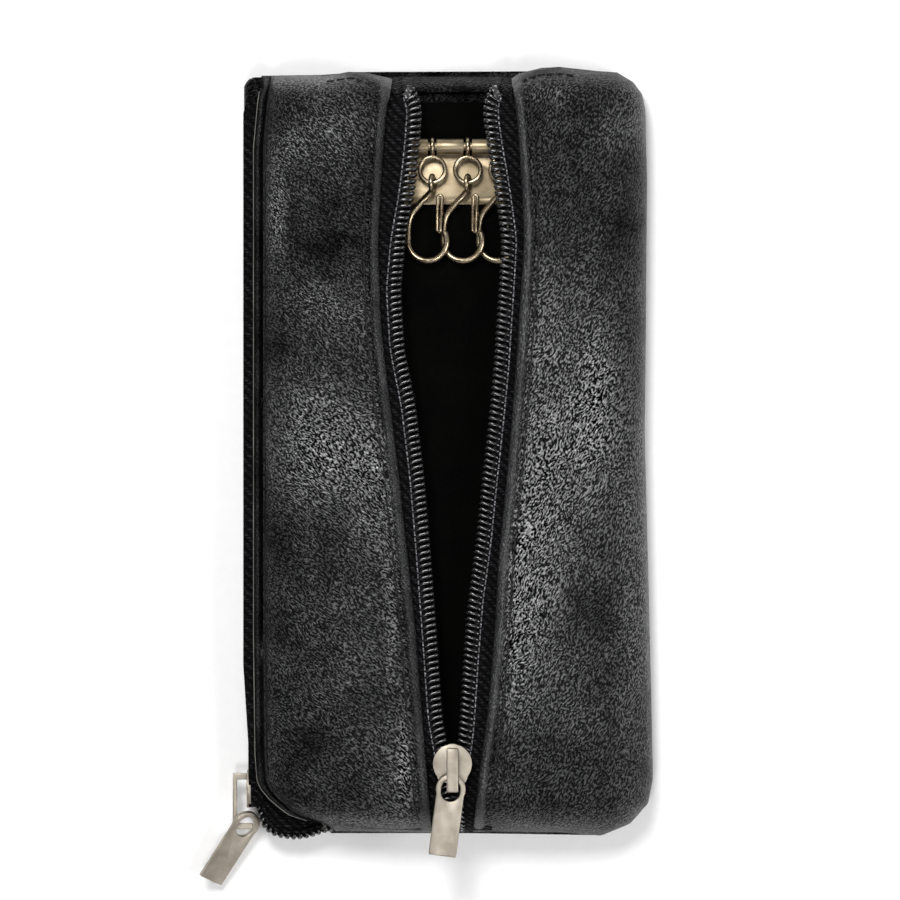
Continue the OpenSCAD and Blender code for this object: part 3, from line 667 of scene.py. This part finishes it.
def front_lining_line(side):
    def line(y):
        drop = 2.4 * MM
        x0, x1 = side_x(side, y) - side * 2.2 * MM, edge_x(side, y) + side * 2.4 * MM
        r = LEFT_ROUND if side < 0 else RIGHT_ROUND
        out = []
        for k in range(27):
            s = k / 26
            x = x0 + (x1 - x0) * s
            a = math.acos(max(0, min(1, 1 - abs(x - x0) / (r - 2 * MM))))
            base = floor_at(y) if side < 0 else LEATHER_T + 1.2 * MM
            z = top_at(y) - drop
            if abs(x - x0) < r - 2 * MM:
                z = base + (top_at(y) - drop - base) * math.sin(a)
            out.append((x, z + 0.1 * MM * lump(x, y, 6 * MM, 9 * MM, 40 + side)))
        return out
    return line


for side, word in ((-1, "left"), (1, "right")):
    low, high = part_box("front_%s_lining" % word)
    dress(sheet_over("%s_front_lining" % word, between(low[1], high[1], 70), front_lining_line(side),
                     LINING_T, LINING_WITH_PAINTED_SHADE), "root", "lining_cloth", "front_%s_lining" % word)


# Zip tapes: woven strips beside the coils, which sink at their top ends
TAPE_TOP_Y = 64.5 * MM
COIL_TOP_Y = 65.3 * MM
DROP_Y, DROP_LENGTH = 60.5 * MM, 5 * MM


def end_drop(y, depth):
    return depth * max(0, (y - DROP_Y) / DROP_LENGTH) ** 1.5


def tape_line(side):
    def line(y):
        inner = coil_x(side, y) + side * (COIL_W / 2 - 0.55 * MM)
        wide = 13.5 * MM
        drop = end_drop(y, 1.1 * MM)
        out = []
        for k in range(19):
            d = wide * (k / 18) ** 1.3
            rib = 0.05 * MM * math.sin(d / (0.5 * MM))
            out.append((inner + side * d, TAPE_Z + TAPE_T + rib - drop))
        return out
    return line


def two_halves(piece):
    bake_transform(piece)


for side, word in ((-1, "left"), (1, "right")):
    tape = sheet_over("%s_zip_tape" % word, between(JOIN_Y, TAPE_TOP_Y, 150), tape_line(side), TAPE_T, TAPE)
    two_halves(tape)
    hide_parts(word + "_tape_lower", word + "_tape_upper")


# Rows of a small shape along a path: coil loops and stitches
def row_tree():
    tree = bpy.data.node_groups.new("row_along_path", "GeometryNodeTree")
    face = tree.interface
    face.new_socket("Path", in_out="INPUT", socket_type="NodeSocketGeometry")
    for name, kind in (("Spacing", "Float"), ("Shape", "Object"), ("Finish", "Material"), ("Wander", "Float"),
                       ("Seed", "Int")):
        face.new_socket(name, in_out="INPUT", socket_type="NodeSocket" + kind)
    face.new_socket("Row", in_out="OUTPUT", socket_type="NodeSocketGeometry")
    given = add(tree, "NodeGroupInput").outputs
    line = add(tree, "GeometryNodeMeshToCurve", {"Mesh": given["Path"]})
    steps = add(tree, "GeometryNodeResampleCurve", {"Curve": line.outputs["Curve"],
                                                    "Length": given["Spacing"]}, mode="LENGTH")
    tangent = add(tree, "GeometryNodeInputTangent").outputs["Tangent"]
    facing = add(tree, "FunctionNodeAlignRotationToVector", {"Vector": tangent}, axis="Y", pivot_axis="Z")
    spread_by = add(tree, "ShaderNodeCombineXYZ", {axis: given["Wander"] for axis in range(3)})
    back_by = add(tree, "ShaderNodeVectorMath", {0: spread_by.outputs[0], "Scale": -1.0}, operation="SCALE")
    lean = add(tree, "FunctionNodeRandomValue", {"Min": back_by.outputs[0], "Max": spread_by.outputs[0],
                                                 "Seed": given["Seed"]}, data_type="FLOAT_VECTOR")
    turn = add(tree, "FunctionNodeEulerToRotation", {"Euler": lean.outputs[0]})
    turned = add(tree, "FunctionNodeRotateRotation", {"Rotation": facing.outputs[0],
                                                      "Rotate By": turn.outputs[0]}, rotation_space="LOCAL")
    shape = add(tree, "GeometryNodeObjectInfo", {"Object": given["Shape"]})
    placed = add(tree, "GeometryNodeInstanceOnPoints", {"Points": steps.outputs["Curve"],
                                                        "Instance": shape.outputs["Geometry"],
                                                        "Rotation": turned.outputs[0]})
    real = add(tree, "GeometryNodeRealizeInstances", {"Geometry": placed.outputs["Instances"]})
    done = add(tree, "GeometryNodeSetMaterial", {"Geometry": real.outputs["Geometry"],
                                                 "Material": given["Finish"]})
    add(tree, "NodeGroupOutput", {"Row": done.outputs["Geometry"]})
    return tree


ROW = row_tree()


def row(name, points, shape, spacing, material, wander=0.0, seed=1):
    """The small shape repeated along the points, as one plain mesh."""
    mesh = bpy.data.meshes.new(name)
    mesh.from_pydata([tuple(p) for p in points], [(k, k + 1) for k in range(len(points) - 1)], [])
    made = place_in_scene(name, mesh)
    modifier = made.modifiers.new("row", "NODES")
    modifier.node_group = ROW
    values = {"Spacing": spacing, "Shape": shape, "Finish": material, "Wander": wander, "Seed": seed}
    for item in ROW.interface.items_tree:
        if item.name in values and item.in_out == "INPUT":
            modifier[item.identifier] = values[item.name]
    made.update_tag()
    bpy.context.view_layer.update()
    seen = bpy.context.evaluated_depsgraph_get()
    made.data = bpy.data.meshes.new_from_object(made.evaluated_get(seen))
    made.data.name = name
    made.modifiers.clear()
    bpy.data.meshes.remove(mesh)
    shade(made, 60)
    return made


def tube(points, r, sides=6, closed=False, flat=1.0):
    """Vertices and faces of a wire along points; flat squashes its height."""
    n = len(points)
    verts, faces = [], []
    up = Vector((0, 0, 1))
    for k, p in enumerate(points):
        a = points[(k - 1) % n] if closed else points[max(k - 1, 0)]
        b = points[(k + 1) % n] if closed else points[min(k + 1, n - 1)]
        d = (Vector(b) - Vector(a)).normalized()
        side = d.cross(up if abs(d.z) < 0.9 else Vector((0, 1, 0))).normalized()
        over = side.cross(d)
        for q in range(sides):
            angle = 2 * math.pi * (q + 0.5) / sides
            verts.append(Vector(p) + side * r * math.cos(angle) + over * r * flat * math.sin(angle))
    for k in range(n if closed else n - 1):
        for q in range(sides):
            a, b = k * sides, (k + 1) % n * sides
            faces.append((a + q, a + (q + 1) % sides, b + (q + 1) % sides, b + q))
    if not closed:
        faces.append(tuple(range(sides)))
        faces.append(tuple(range((n - 1) * sides, n * sides)))
    return verts, faces


def coil_loop(name, head, upright=False):
    """One loop of the nylon coil, slanted, with a thicker head where the halves mesh."""
    tall = COIL_T / 2 - 0.2 * MM
    points = []
    for k in range(14):
        a = 2 * math.pi * k / 14
        c, d = math.cos(a), math.sin(a)
        across = (-0.2 * MM + 1.15 * MM * math.copysign(abs(c) ** 0.7, c)) * head
        up = tall * math.copysign(abs(d) ** 0.75, d)
        lean = (0.42 * MM * math.copysign(abs(c) ** 1.3, c) + 0.1 * MM) * (0.5 + 0.5 * d)
        points.append((up * head, lean, across) if upright else (across, lean, up))
    verts, faces = tube(points, 0.31 * MM, 7, closed=True)
    middle = Vector((0, 0, 0.95 * MM * head)) if upright else Vector((0.95 * MM * head, 0, 0))
    for k, v in enumerate(verts):
        near = max(0, 1 - (v - middle).length / (0.8 * MM))
        verts[k] = v + Vector(((v.x - middle.x) * 0.1, v.y * 0.75, (v.z - middle.z) * 0.35)) * near
    return new_piece(name, verts, faces, COIL, 70)


def stitch_shape(name, length, r):
    """One stitch: a short run of thread that dives into the leather at both ends."""
    points = [(0, length * (k / 6 - 0.5), 0.9 * r * math.sin(math.pi * k / 6) - 0.35 * r) for k in range(7)]
    verts, faces = tube(points, r, 6, flat=0.8)
    return new_piece(name, verts, faces, THREAD, 70)


loop_left = coil_loop("loop_left", 1)
loop_right = coil_loop("loop_right", -1)
loop_up = coil_loop("loop_up", -1, upright=True)
loop_down = coil_loop("loop_down", 1, upright=True)
short_stitch = stitch_shape("short_stitch", 1.35 * MM, 0.17 * MM)
long_stitch = stitch_shape("long_stitch", 2.1 * MM, 0.2 * MM)
tiny_stitch = stitch_shape("tiny_stitch", 0.8 * MM, 0.13 * MM)
SHAPES = [loop_left, loop_right, loop_up, loop_down, short_stitch, long_stitch, tiny_stitch]


def path(fx, ys, fz):
    return [(fx(y), y, fz(y)) for y in ys]


def coil_drop(y):
    return end_drop(y, 1.2 * MM)


for side, word, shape in ((-1, "left", loop_left), (1, "right", loop_right)):
    coil = row("%s_zip_coil" % word, path(lambda y: coil_x(side, y), between(JOIN_Y, COIL_TOP_Y, 240),
                                          lambda y: COIL_Z - coil_drop(y)), shape, TOOTH_PITCH, COIL, 0.03, 3)
    two_halves(coil)
    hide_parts(word + "_coil_lower", word + "_coil_upper", word + "_top_stop")
    seam = row("%s_coil_thread" % word, path(lambda y: coil_x(side, y) + side * 1.55 * MM,
                                             between(JOIN_Y, 64 * MM, 240),
                                             lambda y: TAPE_Z + TAPE_T + 0.08 * MM - coil_drop(y)),
               tiny_stitch, TOOTH_PITCH, COIL_THREAD, 0.08, 5)
    two_halves(seam)
    # The tape's end, folded back over itself beside the top of the coil, drawn pale as a painted highlight
    fold_x, rings = coil_x(side, 65.6 * MM) + side * 0.3 * MM, []
    for k in range(13):
        s = k / 12
        wide, tall = 0.62 * MM * math.sin(math.pi * (0.12 + 0.76 * s)) ** 0.5, 0.5 * MM
        end_y = (64.2 + 2.4 * s) * MM
        middle = (fold_x - side * 0.5 * MM * s, end_y, COIL_Z - coil_drop(min(end_y, COIL_TOP_Y)) + 0.35 * MM)
        rings.append([(middle[0] + wide * math.cos(math.pi * q / 6),
                       middle[1] + 0.12 * MM * math.sin(7 * s + q),
                       middle[2] + tall * math.sin(math.pi * q / 6)) for q in range(12)])
    dress(loft("%s_tape_end" % word, rings, TAPE_END), word + "_leaf_top", "tape_cloth")

# Closed chain and tape below the slider
ZIP_X = 0.012 * HALF_W
chain_ys = between(-HALF_L + 0.8 * MM, JOIN_Y, 40)


def chain_z(y):
    return min(COIL_Z, top_at(y) - LEATHER_T - 0.1 * MM)


for side, shape in ((-1, loop_left), (1, loop_right)):
    piece = row("closed_coil_%s" % ("left" if side < 0 else "right"),
                path(lambda y: ZIP_X + side * 0.62 * MM, [y + side * TOOTH_PITCH / 4 for y in chain_ys],
                     chain_z), shape, TOOTH_PITCH, COIL, 0.03, 7)
    dress(piece, "root", "coil_nylon", *(["closed_chain"] if side < 0 else []))


def bottom_tape_line(y):
    out = []
    for k in range(25):
        x = edge_x(-1, y) - 3 * MM + (edge_x(1, y) - edge_x(-1, y) + 6 * MM) * k / 24
        out.append((x, chain_z(y) - 0.35 * MM + 0.05 * MM * math.sin(x / (0.5 * MM))))
    return out


dress(sheet_over("bottom_zip_tape", chain_ys, bottom_tape_line, TAPE_T * 0.8, TAPE), "root", "tape_cloth",
      "bottom_tape")

# Side zip: two open halves along the left edge, then the closed chain round the corner to its sewn end
side_low, side_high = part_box("side_coil_upper")
SIDE_X = (side_low[0] + side_high[0]) / 2
SIDE_Z = LEATHER_T + POCKET_H / 2
SIDE_TOP = side_high[1]
SIDE_WIDE, SIDE_JOIN = -0.78 * HALF_L, -0.92 * HALF_L
OPEN_HALF, SHUT_HALF = 2.8 * MM, 0.55 * MM
CORNER = [(-35.8, -56.0), (-35.4, -60.0), (-34.7, -63.2), (-34.0, -65.8), (-33.2, -67.3), (-31.8, -68.4),
          (-29.8, -68.9), (-27.6, -69.0), (-25.9, -68.8), (-24.3, -68.3), (-22.6, -67.8), (-20.6, -67.4)]


def side_half(y):
    s = max(0, min(1, (y - SIDE_JOIN) / (SIDE_WIDE - SIDE_JOIN)))
    return SHUT_HALF + (OPEN_HALF - SHUT_HALF) * (3 * s * s - 2 * s ** 3)


def side_out(y):
    """How far the open side zip bulges past its line, between its slider and its top end."""
    from_slider = min(1, max(0, (y + 52 * MM) / (14 * MM)))
    return 0.9 * MM * from_slider * min(1, max(0, (SIDE_TOP - y) / (3 * MM)) + 0.5)


for up, shape, word in ((1, loop_up, "upper"), (-1, loop_down, "lower")):
    ys = between(SIDE_JOIN, SIDE_TOP, 260)
    # The lower half has the flat back under it, so it opens and bulges less
    opens, bulge = (1, 1.3 * MM) if up > 0 else (0.86, 0.5 * MM)
    coil = row("side_coil_" + word, path(lambda y: SIDE_X - side_out(y), ys,
                                         lambda y: SIDE_Z + up * opens * side_half(y)),
               shape, TOOTH_PITCH, COIL, 0.03, 11)
    coil.name = coil.data.name = "side_zip_coil_" + word
    dress(coil, "root", "coil_nylon", "side_coil_" + word)
    rings = []
    for y in between(-HALF_L + 5 * MM, SIDE_TOP + 1 * MM, 150):
        z = SIDE_Z + up * (side_half(y) + 0.75 * MM)
        edge = SIDE_X - 1.3 * MM - side_out(y)
        wide = 9 * MM
        line = [(edge + wide * (k / 18) ** 1.6, z + up * bulge * math.exp(-(k / 10) ** 4)
                 + 0.05 * MM * math.sin(k * 2.1)) for k in range(19)]
        wall = [(x, z2 - up * 0.5 * MM) for x, z2 in line[::-1]]
        rings.append([(x, y, z2) for x, z2 in line + wall])
    dress(loft("side_zip_tape_" + word, rings, TAPE), "root", "tape_cloth", "side_tape_" + word)

corner_path = [(x * MM, y * MM, SIDE_Z) for x, y in CORNER]


def rounded(points, steps=8):
    """Points on a smooth curve through the given points."""
    out = []
    for k in range(len(points) - 1):
        a, b = Vector(points[max(k - 1, 0)]), Vector(points[k])
        c, d = Vector(points[k + 1]), Vector(points[min(k + 2, len(points) - 1)])
        for s in range(steps):
            t = s / steps
            out.append(b + (c - a) * t / 2 + (2 * a - 5 * b + 4 * c - d) * t * t / 2
                       + (3 * b - a - 3 * c + d) * t ** 3 / 2)
    return out + [Vector(points[-1])]


corner_line = rounded(corner_path)
for up, shape, word in ((1, loop_up, "upper"), (-1, loop_down, "lower")):
    shifted = [p + Vector((0, 0, up * SHUT_HALF)) for p in corner_line]
    dress(row("corner_coil_" + word, shifted[::-1], shape, TOOTH_PITCH, COIL, 0.03, 13), "root", "coil_nylon")


def corner_steps():
    """Each point of the corner's line, with its direction in towards the case."""
    for k, p in enumerate(corner_line):
        a, b = corner_line[max(k - 1, 0)], corner_line[min(k + 1, len(corner_line) - 1)]
        d = (b - a).normalized()
        yield p, Vector((-d.y, d.x, 0))


def corner_tape():
    """Tape round the lower left corner, standing on edge behind the closed chain."""
    rings = []
    for p, inwards in corner_steps():
        rings.append([p + inwards * (0.5 * MM + t) + Vector((0, 0, z))
                      for t, z in ((0, -3 * MM), (0, -1 * MM), (0, 1 * MM), (0, 3 * MM),
                                   (0.5 * MM, 3 * MM), (0.5 * MM, -3 * MM))])
    return loft("corner_zip_tape", rings, TAPE)


dress(corner_tape(), "root", "tape_cloth")


# Leather tab folded over the top end of the side zip
TAB_LOW, TAB_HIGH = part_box("side_stop")


def tab_section(s):
    y = TAB_LOW[1] - 1.2 * MM + (TAB_HIGH[1] - TAB_LOW[1] + 2.2 * MM) * s
    shut = min(1, (1 - s) / 0.25) ** 0.5 if s > 0.75 else 1
    x0, x1 = TAB_LOW[0] - 1.5 * MM * shut, TAB_HIGH[0] + 0.6 * MM
    z0, z1 = TAB_LOW[2], TAB_HIGH[2] + 0.5 * MM * shut
    middle, tall = (z0 + z1) / 2, (z1 - z0) / 2
    out = [(x1, y, z0)]
    for k in range(13):
        a = math.pi * (k / 12 - 0.5)
        out.append((x0 + (x1 - x0) * (1 - abs(math.cos(a)) ** 0.35), y,
                    middle + tall * math.copysign(abs(math.sin(a)) ** 0.8, math.sin(a))))
    return out + [(x1, y, z1)]


dress(loft("side_zip_top_tab", [tab_section(k / 24) for k in range(25)], HEM_LEATHER), "root", "leather",
      "side_stop")


# Fabric that fills the lower left corner, from the closed chain in to the leather
def corner_cover():
    rings = []
    for p, inwards in corner_steps():
        ring = []
        for j in range(9):
            t = j / 8
            up = 1.5 * MM + 1.6 * MM * t - 1.2 * MM * t * t
            ring.append(p + inwards * (4.2 * MM * t - 0.3 * MM) + Vector((0, 0, up)))
        rings.append(ring + [q - Vector((0, 0, 0.5 * MM)) for q in ring[::-1]])
    return loft("corner_zip_cover", rings, TAPE)


dress(corner_cover(), "root", "tape_cloth")


# Metal: copies of the frame's parts with their corners rounded as plating leaves them
def polish(node, material, slot, body, width=0.12 * MM, smooth=35):
    mesh = nodes[node].data.copy()
    work = bmesh.new()
    work.from_mesh(mesh)
    bmesh.ops.remove_doubles(work, verts=work.verts, dist=2e-6)
    bmesh.ops.dissolve_limit(work, angle_limit=math.radians(0.8), verts=work.verts, edges=work.edges)
    work.to_mesh(mesh)
    work.free()
    made = place_in_scene(node + "_finished", mesh)
    made.data.name = made.name
    mesh.materials.clear()
    mesh.materials.append(material)
    if width:
        bevel = made.modifiers.new("rounding", "BEVEL")
        bevel.limit_method = "ANGLE"
        bevel.angle_limit = math.radians(38)
        bevel.width = width
        bevel.segments = 2
        bevel.harden_normals = False
        seen = bpy.context.evaluated_depsgraph_get()
        made.data = bpy.data.meshes.new_from_object(made.evaluated_get(seen))
        made.modifiers.clear()
        bpy.data.meshes.remove(mesh)
    shade(made, smooth)
    return dress(made, body, slot, node)


for node, body, width in (("slider_body", "zip_slider", 0.16 * MM), ("slider_bridge", "zip_slider", 0.2 * MM),
                          ("slider_puller", "zip_puller", 0.2 * MM),
                          ("side_slider_body", "side_zip_slider", 0.16 * MM),
                          ("side_slider_bridge", "side_zip_slider", 0.12 * MM),
                          ("side_puller", "side_zip_puller", 0.2 * MM)):
    polish(node, SLIDER_METAL, "zip_metal", body, width)
for node in ("key_plate", "key_bar", "plate_rivets"):
    polish(node, PLATE_METAL, "plate_metal", "root", 0.1 * MM)
for number in range(1, 7):
    for kind, angle in (("link", 35), ("hook", 60), ("gate", 60)):
        node = "%s_%d" % (kind, number)
        polish(node, HOOK_METAL, "hook_metal", node, 0, angle)


# Stitching on the leather
def surface_row(name, section, pick, ys, shape, spacing, seed):
    """A row of stitches on a leather at the point that pick finds in each section."""
    points = []
    for y in ys:
        x, z = pick(y, section(y))
        points.append(laid(x, y, z))
    return dress(row(name, points, shape, spacing, THREAD, 0.05, seed), "root", "leather")


def at_distance(side, from_side, d):
    """Finds the section's highest point at a distance in from the side seam or from the zip edge."""
    def pick(y, points):
        goal = side_x(side, y) - side * d if from_side else edge_x(side, y) + side * d
        near = sorted(points, key=lambda p: (abs(p[0] - goal) > 0.4 * MM, -p[1], abs(p[0] - goal)))
        best = min((p for p in points if p[1] > 1.5 * MM), key=lambda p: abs(p[0] - goal), default=near[0])
        return goal, best[1] + 0.02 * MM
    return pick


long_ys = between(-HALF_L + 5 * MM, HALF_L - 3.4 * MM, 160)
for word, side, from_side, d, seed in (("left_side", -1, True, 1.9 * MM, 21),
                                       ("left_edge", -1, False, 2.4 * MM, 22),
                                       ("right_edge", 1, False, 2.4 * MM, 23)):
    section = left_section if side < 0 else wrap_section
    surface_row(word + "_stitches", section, at_distance(side, from_side, d), long_ys, long_stitch, 2.6 * MM,
                seed)
for side, word, x_from, x_to, seed in ((-1, "left", -21.5, -12.9, 31), (1, "right", 13.2, 21.5, 32)):
    section = left_section if side < 0 else wrap_section
    points = []
    for k in range(31):
        x = (x_from + (x_to - x_from) * k / 30) * MM
        y = min(hem_line(side, x), HALF_L - 1.1 * MM)
        best = min((p for p in section(y) if p[1] > 1.5 * MM), key=lambda p: abs(p[0] - x))
        points.append(laid(x, y, best[1] + 0.1 * MM))
    dress(row(word + "_hem_stitches", points, short_stitch, 1.75 * MM, THREAD, 0.05, seed), "root", "leather")


# Cut edges of split leather, seen as fine pale lines
def edge_line(name, points, r=0.1 * MM):
    verts, faces = tube(points, r, 6)
    return dress(new_piece(name, verts, faces, CUT_EDGE_AND_GLINT, 70), "root", "leather")


edge_line("side_zip_top_tab_edge", [(x - 0.03 * MM, y, z + 0.03 * MM) for x, y, z in tab_section(0.03)[2:-1]],
          0.09 * MM)
left_ys = between(-HALF_L + 2.2 * MM, HALF_L - 1 * MM, 220)
edge_line("left_cut_edge", [laid(side_x(-1, y) - 0.04 * MM, y, left_section(y)[0][1] + 0.3 * MM)
                            for y in left_ys], 0.085 * MM)
low_xs = between(-21 * MM, -4 * MM, 40)
low_y = -HALF_L + 0.5 * MM
edge_line("lower_cut_edge", [laid(x, low_y, top_at(low_y) + 0.05 * MM) for x in low_xs], 0.09 * MM)

# Loose ends of thread where the side zip's seam stops, drawn in the pale edge colour as a painted glint
KNOT = [((-23.4, -66.4), (-22.2, -67.9)), ((-22.1, -66.7), (-23.2, -67.8)), ((-21.6, -66.0), (-22.6, -66.9))]
knot_verts, knot_faces = [], []
for (ax, ay), (bx, by) in KNOT:
    ends = [(ax * MM, ay * MM, 7.0 * MM), ((ax + bx) / 2 * MM, (ay + by) / 2 * MM, 7.3 * MM),
            (bx * MM, by * MM, 6.6 * MM)]
    verts, faces = tube(ends, 0.13 * MM, 6)
    knot_faces += [tuple(v + len(knot_verts) for v in face) for face in faces]
    knot_verts += verts
dress(new_piece("side_seam_thread_ends", knot_verts, knot_faces, CUT_EDGE_AND_GLINT, 70), "root", "leather")

for shape in SHAPES:
    bpy.data.objects.remove(shape)


# Floor, light and camera: white where the camera or a reflection sees the backdrop, with a dim ceiling
GLOW = 0.2
world = bpy.data.worlds.new("studio")
bpy.context.scene.world = world
world.use_nodes = True
sky = world.node_tree
sky.nodes.clear()
rays = add(sky, "ShaderNodeLightPath").outputs
aim = add(sky, "ShaderNodeTexCoord").outputs["Generated"]
height = add(sky, "ShaderNodeSeparateXYZ", {0: aim}).outputs["Z"]
ceiling = add(sky, "ShaderNodeMapRange", {"Value": height, "From Min": 0.15, "From Max": 0.6, "To Min": 1.0,
                                          "To Max": GLOW})
mirrored = reckon(sky, "MULTIPLY", rays["Is Glossy Ray"], ceiling.outputs[0])
plain = reckon(sky, "MAXIMUM", rays["Is Camera Ray"], rays["Is Transmission Ray"])
backdrop = reckon(sky, "MAXIMUM", mirrored, plain)
level = reckon(sky, "MAXIMUM", backdrop, GLOW)
glow = add(sky, "ShaderNodeBackground", {"Color": (1, 1, 1, 1), "Strength": level})
add(sky, "ShaderNodeOutputWorld", {"Surface": glow.outputs[0]})


def lamp(name, place, aim, size, power):
    light = bpy.data.lights.new(name, "AREA")
    light.shape = "DISK"
    light.size = size
    light.energy = power
    made = place_in_scene(name, light)
    made.location = place
    made.rotation_euler = (Vector(aim) - Vector(place)).to_track_quat("-Z", "Y").to_euler()


lamp("key_lamp", (-0.12, 0.32, 0.6), (0, 0, 0), 0.28, 3.65)
lamp("side_lamp", (0.4, -0.16, 0.5), (0, 0, 0), 0.3, 1.8)
lamp("low_lamp", (-0.1, -0.3, 0.7), (0, 0, 0), 0.16, 1.2)

FLOOR_DROP = -0.0002
floor_mesh = bpy.data.meshes.new("floor")
floor_mesh.from_pydata([(x, y, FLOOR_DROP) for x, y in ((-2, -2), (2, -2), (2, 2), (-2, 2))], [],
                       [(0, 1, 2, 3)])
floor = place_in_scene("floor", floor_mesh)
paper, tree, place = start("white_paper")
fibre = grain_of(tree, place, 2 * MM, 3)["Fac"]
tint = ramp(tree, fibre, [(0.3, "#fcfcfc"), (0.7, "#ffffff")])
finish(tree, tint, 0.9, [(fibre, 0.1, 0.02 * MM)])
floor_mesh.materials.append(paper)

# The camera looks straight down and sees 162 mm across at 1.2 m, on a sensor of 36 mm
SENSOR, VIEW_AT, VIEW_WIDE = 36, 1.2, 0.162
camera_data = bpy.data.cameras.new("camera")
camera = place_in_scene("camera", camera_data)
camera.location = (0, 0.0009, 1.215)
camera_data.sensor_width = SENSOR
camera_data.lens = SENSOR * VIEW_AT / VIEW_WIDE
camera_data.clip_start = 0.05
bpy.context.scene.camera = camera
bpy.context.scene.view_settings.view_transform = "Standard"
